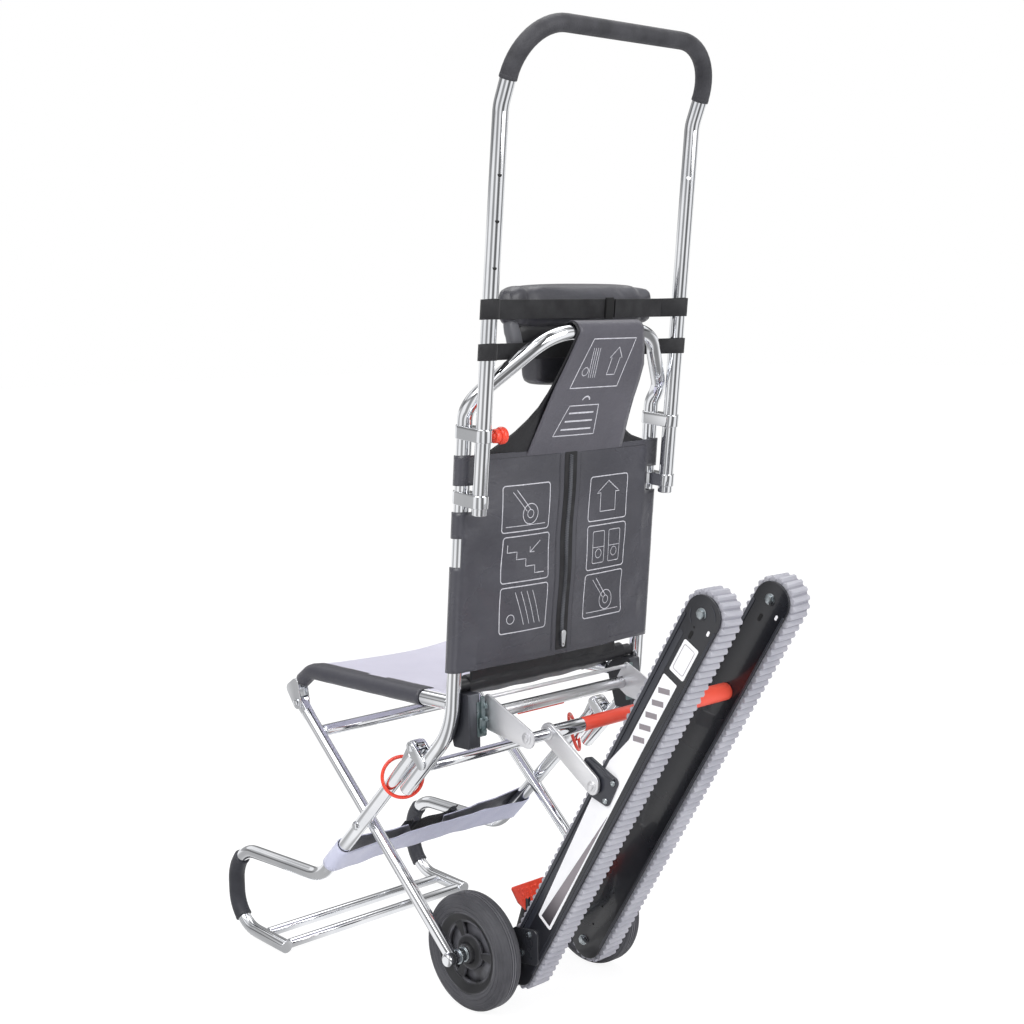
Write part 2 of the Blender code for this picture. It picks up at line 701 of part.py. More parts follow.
def build_zip():
    """Zip strip down the middle of the cover, and its puller."""
    lift = COVER_THICK + GAP
    levels = [ZIP_ENDS[0] + (ZIP_ENDS[1] - ZIP_ENDS[0]) * step / 4 for step in range(5)]
    rows = [[Vector((x, cover_y(0, z) + lift, z)) for x in (-ZIP_HALF, ZIP_HALF)] for z in levels]
    piece("zip_strip", sheet(rows, COVER_THICK), "webbing")
    z = ZIP_ENDS[0] + PULLER_TALL / 2 + mm(2)
    y = cover_y(0, z) + lift + COVER_THICK / 2 + SIDE_GAP
    centre = pivot("zip_pivot", (0, y, z))
    thick = mm(2)

    def lying(a, b, c):
        return Vector((a, y + UPRIGHT_LEAN * (b - z) + c, b))

    ends = ((0, z + PULLER_TALL / 2 - mm(5)), mm(5)), ((0, z - PULLER_TALL / 2 + mm(3)), mm(3))
    outline = hull(*ends, sides=16)
    hole = circle((0, z - PULLER_TALL / 2 + mm(4)), mm(1.5), 8)
    piece("zip_puller", prism(outline, 0.0, thick, holes=(hole,), place=lying), "silver", centre)


def build_handle():
    """Tall push handle: one tube bent at both kinks and both top corners, and its grip."""
    foot = pivot("handle_pivot", (0, *HANDLE_FOOT))
    line = in_plane(HANDLE_HALF, HANDLE_FOOT, HANDLE_KINK, HANDLE_TOP) + in_plane(0, HANDLE_TOP)
    path = mirrored(rounded(line, [HANDLE_KINK_RADIUS, HANDLE_CORNER_RADIUS], 4)[:-1])
    solid = tube(path, FRAME_R)
    holes = []
    for height in HOLE_HEIGHTS:
        face = HANDLE_HALF - FRAME_R
        holes.append(bar(face - mm(1), face + HOLE_DEPTH, (handle_y(height), height), HOLE_R, 10))
    piece("handle_tube", cut(solid, *holes), "chrome", foot)
    grip = tube(path, FRAME_R + GRIP_WALL, bore=roomy(FRAME_R, GAP), part=slice(7, -7))
    piece("handle_grip", grip, "grip_rubber", foot)


def build_headrest():
    """Head and neck pads on two webbing straps looped round the handle tubes."""
    centre = pivot("headrest_pivot", (0, handle_y(STRAP_Z["lower"][0]), STRAP_Z["lower"][0]))
    backs = {}
    for level, (low, high) in STRAP_Z.items():
        middle = (low + high) / 2
        front = handle_y(middle) - STRAP_SAG
        backs[level] = front - STRAP_THICK

        def raked(a, b, c):
            return Vector((a, b + HANDLE_LEAN * (c - middle), c))

        inner = FRAME_R + RUNNING_GAP
        loops = []
        for _, side in sides():
            eye = (side * HANDLE_HALF, handle_y(middle))
            neck = (side * (HANDLE_HALF - mm(27)), front - STRAP_THICK / 2)
            outline = hull((eye, inner + STRAP_THICK), (neck, STRAP_THICK * 0.75))
            loops.append(prism(outline, low, high, holes=(circle(eye, inner, 16),), place=raked))
        reach = HANDLE_HALF - mm(27)
        flat = [(-reach, front - STRAP_THICK), (reach, front - STRAP_THICK), (reach, front), (-reach, front)]
        piece(f"strap_{level}", join(prism(flat, low, high, place=raked), *loops), "webbing", centre)
    back = backs["upper"] - 1.5 * GAP
    pad = cushion(HEADREST_HALF, (HEADREST_FRONT, back), HEADREST_Z)
    piece("headrest_pad", pad, "cover", centre)
    back = backs["lower"] - HANDLE_LEAN * (STRAP_Z["lower"][1] - STRAP_Z["lower"][0]) / 2 - GAP
    piece("neck_pad", cushion(NECK_HALF, (NECK_FRONT, back), NECK_Z), "cover", centre)


def build_seat():
    """Side tubes with a flattened rear end and a two-plate front bracket, and the cover."""
    place = pivot("seat_pivot", (0, *SEAT_PIVOT))
    back = SEAT_PIVOT[0] - TONGUE_END
    level = SEAT_PIVOT[1] + (SEAT_FRONT[1] - SEAT_PIVOT[1]) * TONGUE_END / (SEAT_PIVOT[0] - SEAT_FRONT[0])
    line = [(back, level), SEAT_FRONT, SEAT_END]
    tongue_x = (BLOCK_INNER + BLOCK_OUTER) / 2
    for name, side in sides():
        rail = tube(rounded(in_plane(side * SEAT_HALF, *line), [SEAT_BEND_RADIUS]), FRAME_R)
        tongue = prism(hull((SEAT_PIVOT, mm(10)), ((back - mm(12), level), mm(7))),
                       *span(side, tongue_x - TONGUE_THICK / 2, tongue_x + TONGUE_THICK / 2),
                       holes=(circle(SEAT_PIVOT, PIN_R + RUNNING_GAP, 16),))
        plates = []
        outer = LEG_HALF + LEG_R
        inner = LEG_HALF - LEG_R
        wall = mm(2.6)
        for start in (inner, outer - wall):
            outline = hull((LEG_TOP, mm(11)), ((SEAT_END[0] + mm(14), SEAT_END[1] + mm(8)), mm(10)),
                           (SEAT_END, mm(9)))
            plates.append(prism(outline, *span(side, start, start + wall)))
        plates.append(bar(*span(side, inner + GAP, outer - GAP), LEG_TOP, PIN_R))
        piece(f"seat_tube_{name}", join(rail, tongue, *plates), "chrome", place)
    build_seat_cover(place)


def build_seat_cover(place):
    """Fabric over the side tubes: round their outer sides, sagging between them."""
    angles = [math.radians(angle) for angle in (-30, 0, 30, 60, 90)]
    half_wall = snug(FRAME_R, mm(0.2), SEAT_COVER_THICK, 30)
    run = rounded([(0, SEAT_PIVOT[0] - TONGUE_END - mm(10), SEAT_PIVOT[1]), (0, *SEAT_FRONT), (0, *SEAT_END)],
                  [SEAT_BEND_RADIUS], 3)
    run = [run[0].lerp(run[1], 0.5 * step) for step in range(2)] + run[1:-1]
    run.append(run[-1].lerp(Vector((0, *SEAT_END)), 0.4))
    flats = [mm(x) for x in (120, 60, 0)]
    rows = []
    for point, (tangent, _, _) in zip(run, frames(run)):
        rise = Vector((0, tangent.z, -tangent.y))
        row = [Vector((SEAT_HALF + half_wall * math.cos(a), *point.yz)) + rise * half_wall * math.sin(a)
               for a in angles]
        for x in flats:
            dip = half_wall - SEAT_SAG * (1 - (x / SEAT_HALF) ** 2)
            row.append(Vector((x, *point.yz)) + rise * dip)
        rows.append(row + [Vector((-item.x, item.y, item.z)) for item in reversed(row[:-1])])
    piece("seat_cover", sheet(rows, SEAT_COVER_THICK), "seat", place)


def build_legs(seat):
    """Straight legs with flat top ends and axle sleeves, their crossbar and the axle."""
    place = pivot("leg_pivot", (0, *LEG_TOP), seat)
    down = (Vector(AXLE) - Vector(LEG_TOP)).normalized()
    for name, side in sides():
        start = along(LEG_TOP, down, mm(20))
        shank = tube(in_plane(side * LEG_HALF, start, AXLE), LEG_R)
        half = LEG_R - mm(2.6) - RUNNING_GAP
        tongue = prism(hull((LEG_TOP, mm(9)), (along(LEG_TOP, down, mm(30)), mm(8))),
                       *span(side, LEG_HALF - half, LEG_HALF + half),
                       holes=(circle(LEG_TOP, PIN_R + RUNNING_GAP, 16),))
        inner = LEG_HALF - LEG_R
        profile = [(side * (inner - mm(0.2)), LEG_R + mm(0.8)), (side * (inner + mm(21)), LEG_R + mm(0.8)),
                   (side * (inner + mm(24)), LEG_R * 0.7)]
        sleeve = turned(profile, AXLE, 16)
        piece(f"leg_{name}", join(shank, tongue, sleeve), "chrome", place)
    reach = LEG_HALF - LEG_R - GAP
    piece("leg_crossbar", bar(-reach, reach, along(LEG_TOP, down, LEG_BAR_STATION), LEG_R), "chrome", place)
    hub_outer = WHEEL_INNER_X + WHEEL_WIDE
    spacer = AXLE_R + mm(4)
    end = LEG_HALF - LEG_R - mm(0.2) - GAP
    half_profile = [(hub_outer + GAP, AXLE_R), (hub_outer + GAP, spacer), (end, spacer)]
    mirror = [(-x, radius) for x, radius in reversed(half_profile)]
    piece("axle", turned(mirror + half_profile, AXLE, 20), "chrome", place)
    return place


def build_wheels(legs):
    """Solid grey tyres on dished plastic rims with three arc-shaped windows."""
    inner = WHEEL_INNER_X
    outer = WHEEL_INNER_X + WHEEL_WIDE
    middle = (inner + outer) / 2
    shoulder = WHEEL_R - TYRE_SHOULDER
    bead = RIM_R + GAP
    rounding = [math.radians(angle) for angle in (0, 45, 90)]
    side_out = [(outer - TYRE_SHOULDER + TYRE_SHOULDER * math.cos(a), shoulder + TYRE_SHOULDER * math.sin(a))
                for a in rounding]
    side_in = [(inner + outer - x, radius) for x, radius in reversed(side_out)]
    section = [(outer - mm(2), bead), *side_out, *side_in, (inner + mm(2), bead)]
    bed = mm(5)
    disc = [(outer - mm(3), RIM_R), (inner + mm(3), RIM_R), (middle - WEB_THICK / 2, RIM_R - bed),
            (middle - WEB_THICK / 2, HUB_R + mm(2)), (inner, HUB_R), (inner, AXLE_R + RUNNING_GAP),
            (outer, AXLE_R + RUNNING_GAP), (outer, HUB_R), (middle + WEB_THICK / 2, HUB_R + mm(2)),
            (middle + WEB_THICK / 2, RIM_R - bed)]
    for name, side in sides():
        place = pivot(f"wheel_pivot_{name}", (side * middle, *AXLE), legs)
        tyre = turned([(side * x, radius) for x, radius in section], AXLE, 32, closed=True)
        piece(f"tyre_{name}", tyre, "tyre", place)
        wheel = turned([(side * x, radius) for x, radius in disc], AXLE, 22, closed=True)
        slots = [arc_slot(side * middle, math.radians(start)) for start in (10, 130, 250)]
        piece(f"rim_{name}", cut(wheel, *slots), "rim", place)


def arc_slot(x, start):
    """Cutter for one arc-shaped window in a rim's web."""
    low = HUB_R + mm(10)
    high = RIM_R - mm(17)
    sweep = [start + math.radians(100) * step / 6 for step in range(7)]
    rim = [(AXLE[0] + high * math.cos(turn), AXLE[1] + high * math.sin(turn)) for turn in sweep]
    hub = [(AXLE[0] + low * math.cos(turn), AXLE[1] + low * math.sin(turn)) for turn in reversed(sweep)]
    return prism(rim + hub, x - WEB_THICK, x + WEB_THICK)


def lower_path(side):
    """Side tube of the lower frame, from below its pivot to the rear footrest bar."""
    start = along(LOWER_ORIGIN, LOWER_DIR, TONGUE_END + mm(1))
    widths = (FRAME_HALF, FRAME_HALF, FOOT_HALF, FOOT_HALF, FOOT_HALF)
    points = (start, LOWER_KNEE, LOOP_TOP, LOOP_BOTTOM, REAR_BAR)
    line = [Vector((side * half, *point)) for half, point in zip(widths, points)]
    return rounded(line, [LOWER_KNEE_RADIUS, LOOP_RADIUS, LOOP_RADIUS], 4)


def build_lower_frame():
    """Side tubes with footrest loops, footrest bars, black sleeves and calf strap."""
    place = pivot("lower_pivot", (0, *LOWER_PIVOT))
    tongue_half = FRAME_R - LUG_WALL / 2 - RUNNING_GAP
    for name, side in sides():
        path = lower_path(side)
        tongue = prism(hull((LOWER_PIVOT, LUG_R + mm(1)), (along(LOWER_ORIGIN, LOWER_DIR, mm(30)), mm(9))),
                       *span(side, FRAME_HALF - tongue_half, FRAME_HALF + tongue_half),
                       holes=(circle(LOWER_PIVOT, PIN_R + RUNNING_GAP, 16),))
        crossing = crossing_point()
        bolt = bar(*span(side, FRAME_HALF, FRAME_HALF + FRAME_R + mm(4)), crossing, mm(6), 6)
        piece(f"lower_tube_{name}", join(tube(path, FRAME_R), tongue, bolt), "chrome", place)
        sleeve = tube(path, FRAME_R + SLEEVE_WALL, bore=roomy(FRAME_R, GAP), part=slice(8, 14))
        piece(f"loop_sleeve_{name}", sleeve, "grip_rubber", place)
    reach = FOOT_HALF - FRAME_R - GAP
    slope = (REAR_BAR[1] - LOOP_BOTTOM[1]) / (REAR_BAR[0] - LOOP_BOTTOM[0])
    front = (FRONT_BAR_Y, LOOP_BOTTOM[1] + slope * (FRONT_BAR_Y - LOOP_BOTTOM[0]))
    piece("footrest_front_bar", bar(-reach, reach, front, FOOT_BAR_R), "chrome", place)
    rear = (REAR_BAR[0] - FOOT_BAR_R, REAR_BAR[1] - slope * FOOT_BAR_R)
    piece("footrest_rear_bar", bar(-reach, reach, rear, FOOT_BAR_R), "chrome", place)
    build_calf_strap(place)
    build_rings(place)


def crossing_point():
    """Where the legs and the lower frame cross in the side view."""
    leg = Vector(AXLE) - Vector(LEG_TOP)
    offset = Vector(LEG_TOP) - Vector(LOWER_ORIGIN)
    base = LOWER_DIR[0] * leg.y - LOWER_DIR[1] * leg.x
    return along(LOWER_ORIGIN, LOWER_DIR, (offset.x * leg.y - offset.y * leg.x) / base)


def build_calf_strap(place):
    """Band behind the sitter's calves, its ends brought round the tubes and joined in front."""
    wall = snug(FRAME_R, GAP, CALF_THICK, 45)
    turns = [math.radians(angle) for angle in (90, 45, 0, -45, -90)]
    round_tube = [(FRAME_HALF + wall * math.cos(turn), wall * math.sin(turn)) for turn in turns]
    rear = [(FRAME_HALF * share, -wall) for share in (0.6, 0.2, -0.2, -0.6)]
    rows = []
    for share in (0.0, 0.5, 1.0):
        station = CALF_STATIONS[0] + (CALF_STATIONS[1] - CALF_STATIONS[0]) * share
        near = CALF_FLAP_ENDS[0] + (CALF_FLAP_ENDS[1] - CALF_FLAP_ENDS[0]) * share
        far = CALF_FLAP_ENDS[2] + (CALF_FLAP_ENDS[3] - CALF_FLAP_ENDS[2]) * share
        loop = [(near, wall), *round_tube, *rear, *[(-x, n) for x, n in reversed(round_tube)], (far, wall)]
        rows.append([calf_point(x, station, n) for x, n in loop])
    piece("calf_strap", sheet(rows, CALF_THICK), "calf", place)

    corner = mm(6)
    patch = hull(*[((x, station), corner)
                   for x in (FASTENER_X[0] + corner, FASTENER_X[1] - corner)
                   for station in (FASTENER_STATIONS[0] + corner, FASTENER_STATIONS[1] - corner)], sides=8)
    face = wall + CALF_THICK / 2 + GAP
    piece("calf_fastener", prism(patch, face, face + mm(2.5), place=calf_point), "webbing", place)


def calf_point(x, station, height):
    """Point beside the lower tubes: along them from their pivot, and in front of their axis."""
    return Vector((x, *along(LOWER_ORIGIN, LOWER_DIR, station, LOWER_NORMAL, height)))


def build_rings(lower):
    """Red rings that hang on the lower tubes beside the ends of the back tubes."""
    normal = Vector(RING_NORMAL).normalized()
    for name, side in sides():
        centre = Vector((side * (FRAME_HALF - RING_INSET), *RING_CENTRE))
        facing = Vector((side * normal.x, normal.y, normal.z))
        place = pivot(f"ring_pivot_{name}", centre, lower)
        a = facing.orthogonal().normalized()
        b = facing.cross(a)
        solid = bmesh.new()
        rings = []
        for step in range(22):
            turn = 2 * math.pi * step / 22
            out = math.cos(turn) * a + math.sin(turn) * b
            rings.append(ring_of(solid, centre + out * RING_R, out, facing, RING_WIRE, 8))
        for ring_a, ring_b in zip(rings, rings[1:] + rings[:1]):
            bridge(solid, ring_a, ring_b)
        piece(f"lock_ring_{name}", solid, "red", place)


def stadium(start, end, radius, count=12):
    """Outline round two equal circles, with the same number of points at each end."""
    heading = math.atan2(end[1] - start[1], end[0] - start[0])
    outline = []
    for centre, turn0 in ((start, heading + math.pi / 2), (end, heading - math.pi / 2)):
        for step in range(count + 1):
            turn = turn0 + math.pi * step / count
            outline.append((centre[0] + radius * math.cos(turn), centre[1] + radius * math.sin(turn)))
    return outline


def build_tracks():
    """Two crawler units: plates, spacers, belt, rollers, brackets and the cross tube."""
    place = pivot("track_pivot", (0, *AXLE))
    low = track_point(TRACK_START, 0)
    high = track_point(TRACK_START + TRACK_CENTRES, 0)
    for name, side in sides():
        build_track_frame(name, side, low, high, place)
        between = PLATE_THICK + SIDE_GAP
        width = span(side, TRACK_X[0] + between, TRACK_X[1] - between)
        belt = prism(stadium(low, high, BELT_OUTER_R), *width, holes=(stadium(low, high, BELT_INNER_R),))
        piece(f"belt_{name}", belt, "belt", place)
        for level, centre in (("bottom", low), ("top", high)):
            build_roller(name, side, level, centre, place)
        bracket_x = TRACK_X[1] + GAP
        outline = hull(*[(track_point(*point), radius) for point, radius in BRACKET_CORNERS])
        bracket = prism(outline, *span(side, bracket_x, bracket_x + BRACKET_THICK))
        piece(f"link_bracket_{name}", bracket, "black_paint", place)
    end = TRACK_X[0] - GAP
    piece("track_cross_tube", bar(-end, end, track_point(*CROSS_TUBE_AT), CROSS_TUBE_R, 20), "red", place)


def build_track_frame(name, side, low, high, place):
    """Plates with a sunk panel outside, spacers and roller bolts, and the fork over the axle."""
    plates = []
    for x in (TRACK_X[0], TRACK_X[1] - PLATE_THICK):
        plates.append(prism(stadium(low, high, PLATE_R), *span(side, x, x + PLATE_THICK)))
    corners = [(PANEL_STATIONS[0], PANEL_OFFSETS[0]), (PANEL_STATIONS[1], PANEL_OFFSETS[0]),
               (PANEL_STATIONS[1], PANEL_OFFSETS[1]), (PANEL_STATIONS[0], PANEL_OFFSETS[1])]
    depth = span(side, TRACK_X[1] - PANEL_DEPTH, TRACK_X[1] + mm(5))
    plates[1] = cut(plates[1], prism([track_point(*corner) for corner in corners], *depth))
    spacers = []
    for share in (0.14, 0.5, 0.86):
        centre = along(low, TRACK_DIR, TRACK_CENTRES * share)
        spacers.append(bar(*span(side, TRACK_X[0] + mm(1), TRACK_X[1] - mm(1)), centre, mm(14), 10))
    bolts = []
    for centre in (low, high):
        bolts.append(bar(*span(side, TRACK_X[0] - mm(3), TRACK_X[1] + mm(3)), centre, ROLLER_BOLT_R, 10))
        bolts.append(bar(*span(side, TRACK_X[1] - mm(1), TRACK_X[1] + mm(6)), centre, mm(9), 6))
    arm = hull((track_point(mm(83), 0), mm(10)), (track_point(mm(54), mm(20)), mm(9)),
               (track_point(mm(62), mm(-28)), mm(9)), (AXLE, mm(17)))
    wall = prism(arm, *span(side, TRACK_X[1] - mm(0.5), TRACK_X[1] - mm(0.5) + BRACKET_THICK))
    throat = hull((AXLE, AXLE_R + RUNNING_GAP), ((AXLE[0] - mm(22), AXLE[1] + mm(18)), AXLE_R + mm(5)))
    fork = cut(wall, prism(throat, *span(side, TRACK_X[1] - mm(5), TRACK_X[1] + mm(10))))
    piece(f"track_frame_{name}", join(plates[0], *spacers, plates[1], fork, *bolts), "black_paint", place)


def build_roller(name, side, level, centre, place):
    """Belt roller: a drum that turns on its bolt."""
    x0 = TRACK_X[0] + PLATE_THICK + GAP
    x1 = TRACK_X[1] - PLATE_THICK - GAP
    drum = BELT_INNER_R - SIDE_GAP
    mid = (x0 + x1) / 2
    bore = ROLLER_BOLT_R + RUNNING_GAP
    profile = [(x0, bore), (x0, drum), (x1, drum), (x1, bore)]
    hub = pivot(f"roller_pivot_{level}_{name}", (side * mid, *centre), place)
    solid = turned([(side * x, radius) for x, radius in profile], centre, 22, closed=True)
    piece(f"roller_{level}_{name}", solid, "black_plastic", hub)


def build_arm():
    """Silver arm between the back frame and the knuckle, and the links down to the tracks."""
    place = pivot("arm_pivot", (0, *ARM_PIVOT))
    outline = hull((mm(66, 492), mm(7)), (mm(68, 452), mm(7)), (KNUCKLE, ARM_TIP_R), (ARM_PIVOT, mm(12)))
    holes = (circle(ARM_PIVOT, PIN_R + RUNNING_GAP, 16),)
    for name, side in sides():
        plate = prism(outline, *span(side, ARM_HALF - ARM_THICK, ARM_HALF), holes=holes)
        if side > 0:
            inner = ARM_HALF - ARM_THICK
            plate = join(plate, bar(-inner + GAP, inner + mm(1), mm(63, 493), mm(3), 10))
        piece(f"arm_plate_{name}", plate, "silver", place)
    reach = ARM_HALF - ARM_THICK - GAP
    hinge = bar(-reach, reach, ARM_PIVOT, ARM_TUBE_R, 18, PIN_R + RUNNING_GAP)
    piece("arm_hinge_tube", hinge, "silver", place)
    collar = LINK_X - GAP
    grip_end = GRIP_START + GRIP_LONG
    profile = [(-reach, SHAFT_R), (-collar, SHAFT_R), (-collar, SHAFT_COLLAR_R),
               (-collar + SHAFT_COLLAR_LONG, SHAFT_COLLAR_R), (-collar + SHAFT_COLLAR_LONG, SHAFT_R),
               (grip_end + GAP, SHAFT_R), (grip_end + GAP, SHAFT_COLLAR_R), (collar, SHAFT_COLLAR_R),
               (collar, SHAFT_R), (reach, SHAFT_R)]
    piece("knuckle_shaft", turned(profile, KNUCKLE, 18), "chrome", place)
    red = bar(GRIP_START, grip_end, KNUCKLE, GRIP_R, 18, SHAFT_R + GAP)
    piece("knuckle_grip", red, "red", place)
    links = pivot("link_pivot", (0, *KNUCKLE), place)
    for name, side in sides():
        outline = hull((KNUCKLE, ARM_TIP_R), (LINK_END, mm(12)), (along(LINK_END, (0, 1), mm(6)), mm(13)))
        link = prism(outline, *span(side, LINK_X, LINK_X + LINK_THICK),
                     holes=(circle(KNUCKLE, SHAFT_R + RUNNING_GAP, 20),))
        bolt = bar(*span(side, LINK_X - mm(2), LINK_X + LINK_THICK + mm(4)), LINK_END, mm(6), 12)
        piece(f"link_{name}", join(link, bolt), "silver", links)


def build_pedal(legs):
    """Red foot plate on a black arm that turns on the axle."""
    place = pivot("pedal_pivot", (0, *AXLE), legs)
    bore = AXLE_R + RUNNING_GAP
    top = (sum(PEDAL_Y) / 2, PEDAL_CORNERS[2][1])
    shank = hull((AXLE, bore + mm(5)), (top, mm(3)), sides=16)
    arm = prism(shank, *PEDAL_ARM_X, holes=(circle(AXLE, bore, 16),))
    outline = hull(*[(corner, PEDAL_CORNER_R) for corner in PEDAL_CORNERS], sides=12)
    plate = prism(outline, *PEDAL_Y, place=front_view)
    piece("pedal", join(plate, arm), "red", place)


def stand_on_origin():
    """Move the whole chair so that its box stands on the floor, centred on the origin."""
    bpy.context.view_layer.update()
    corners = [item.matrix_world @ Vector(corner) for item in bpy.data.objects if item.type == "MESH"
               for corner in (vert.co for vert in item.data.vertices)]
    low = [min(corner[axis] for corner in corners) for axis in range(3)]
    high = [max(corner[axis] for corner in corners) for axis in range(3)]
    shift = Vector((-(low[0] + high[0]) / 2, -(low[1] + high[1]) / 2, -low[2]))
    for item in bpy.data.objects:
        if item.parent is None:
            item.location += shift
    bpy.context.view_layer.update()
    print("moved by", [round(value, 6) for value in shift])
    print("size", [round(high[axis] - low[axis], 5) for axis in range(3)])


def main():
    clear_scene()
    build_back_frame()
    build_hinge_blocks()
    build_collars()
    build_knob()
    build_back_cover()
    build_handle()
    build_headrest()
    build_seat()
    legs = build_legs(bpy.data.objects["seat_pivot"])
    build_wheels(legs)
    build_lower_frame()
    build_tracks()
    build_arm()
    build_pedal(legs)
    stand_on_origin()


main()
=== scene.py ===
# %% [markdown]
# # A folding transfer chair with two crawler tracks
# The hard parts come from a measured CAD model. This script dresses that model: bent chrome tube,
# coated fabric, rubber and printed plates. Each piece is a surface worked out with numpy, and each
# finish is a small set of shader nodes.

# %% Frame
import math

import bmesh
import bpy
import numpy as np
from mathutils import Matrix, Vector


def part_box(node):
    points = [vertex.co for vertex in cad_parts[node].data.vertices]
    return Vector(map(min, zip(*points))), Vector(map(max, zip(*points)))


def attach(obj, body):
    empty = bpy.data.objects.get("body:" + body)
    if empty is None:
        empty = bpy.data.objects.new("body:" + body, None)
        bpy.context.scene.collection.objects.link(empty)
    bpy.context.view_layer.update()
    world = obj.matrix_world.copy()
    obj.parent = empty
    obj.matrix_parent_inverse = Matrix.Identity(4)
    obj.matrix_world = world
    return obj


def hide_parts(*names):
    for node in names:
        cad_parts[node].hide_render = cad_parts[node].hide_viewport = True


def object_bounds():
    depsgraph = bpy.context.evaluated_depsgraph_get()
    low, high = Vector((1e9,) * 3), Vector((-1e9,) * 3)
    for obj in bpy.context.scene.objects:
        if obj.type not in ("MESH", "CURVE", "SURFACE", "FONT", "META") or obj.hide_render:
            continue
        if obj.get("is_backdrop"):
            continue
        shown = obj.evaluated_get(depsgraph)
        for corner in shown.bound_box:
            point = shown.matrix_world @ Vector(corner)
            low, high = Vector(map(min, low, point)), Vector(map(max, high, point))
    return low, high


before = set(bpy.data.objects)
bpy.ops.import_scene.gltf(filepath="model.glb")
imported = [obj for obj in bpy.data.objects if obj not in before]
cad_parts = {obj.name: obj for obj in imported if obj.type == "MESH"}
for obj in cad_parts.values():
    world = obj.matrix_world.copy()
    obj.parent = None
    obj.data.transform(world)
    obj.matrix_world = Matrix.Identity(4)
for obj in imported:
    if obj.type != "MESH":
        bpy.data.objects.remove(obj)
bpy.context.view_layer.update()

# %% [markdown]
# ## One set of coordinates
# Every number below is in millimetres, measured from the floor point under the axle, as the CAD
# was drawn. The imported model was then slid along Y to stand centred. The axle's own box tells how
# far, so each mesh gets that shift once, when it is made.

# %% Chair coordinates
MM = 0.001
axle_low, axle_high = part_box("axle")
SHIFT = np.array([0.0, (axle_low.y + axle_high.y) / 2, 0.0])
print("shift along Y", round(SHIFT[1], 5), "m")

FRAME_HALF, FRAME_R, SLOPE = 195.0, 11.0, math.radians(45)
DOWN = np.array([-math.cos(SLOPE), -math.sin(SLOPE)])
OUT = np.array([-math.sin(SLOPE), math.cos(SLOPE)])
AXLE, BACK_KNEE = np.array([0.0, 90.0]), np.array([37.1, 448.6])
LUG_FOOT = BACK_KNEE + 83 * DOWN
LOWER_PIVOT = LUG_FOOT + 31 * OUT
LOWER_START = LOWER_PIVOT - 6 * OUT
SEAT_PIVOT, LEG_TOP = np.array([20.0, 480.0]), np.array([-358.0, 428.0])
LEAN, HANDLE_LEAN = 0.1008, 0.11435


def upright_y(z):
    """Middle of the back uprights at height z: a straight line that leans back."""
    return BACK_KNEE[0] + LEAN * (np.asarray(z) - BACK_KNEE[1])


def handle_y(z):
    """Middle of the handle tubes at height z, below their kink."""
    return 171.0 + HANDLE_LEAN * (np.asarray(z) - 1320.0)


# %% [markdown]
# ## Surfaces as grids
# A shell is a grid of points and the quads between neighbours. Its UV map holds real distances in
# metres, so a weave keeps its scale on any piece. Blender turns the faces outwards at the end. The
# chair has two like sides, so a paired piece is worked out on the left and mirrored: x becomes -x.

# %% Grid, shell and mesh
def unit(v):
    """Vectors divided by their own lengths."""
    return v / np.linalg.norm(v, axis=-1, keepdims=True)


def around(count):
    """Angles of a full turn in equal steps, the end left out."""
    return np.linspace(0, 2 * math.pi, count, endpoint=False)


def shell(points, close_rows=False, close_cols=False, caps=False, keep=None):
    """Grid point (i, j) joined to (i+1, j) and (i, j+1); closed directions join the last to the first."""
    rows, cols = points.shape[:2]
    i, j = np.meshgrid(np.arange(rows - (not close_rows)), np.arange(cols - (not close_cols)), indexing="ij")
    if keep is not None:
        i, j = i[keep], j[keep]
    place = np.stack([i.ravel(), j.ravel()], 1)[:, None, :] + np.array([[0, 0], [0, 1], [1, 1], [1, 0]])
    faces = ((place[..., 0] % rows) * cols + place[..., 1] % cols).tolist()
    ring = np.concatenate([points, points[:1]]) if close_rows else points
    band = np.concatenate([points, points[:, :1]], 1) if close_cols else points
    along = np.r_[0, np.cumsum(np.linalg.norm(np.diff(ring, axis=0), axis=2).mean(1))]
    across = np.r_[0, np.cumsum(np.linalg.norm(np.diff(band, axis=1), axis=2).max(0))]
    uvs = np.stack([along[place[..., 0]], across[place[..., 1]]], -1).reshape(-1, 2) * MM
    if caps:
        faces += [list(range(cols)), list(range((rows - 1) * cols, rows * cols))]
        uvs = np.concatenate([uvs, np.zeros((2 * cols, 2))])
    return points.reshape(-1, 3), faces, uvs


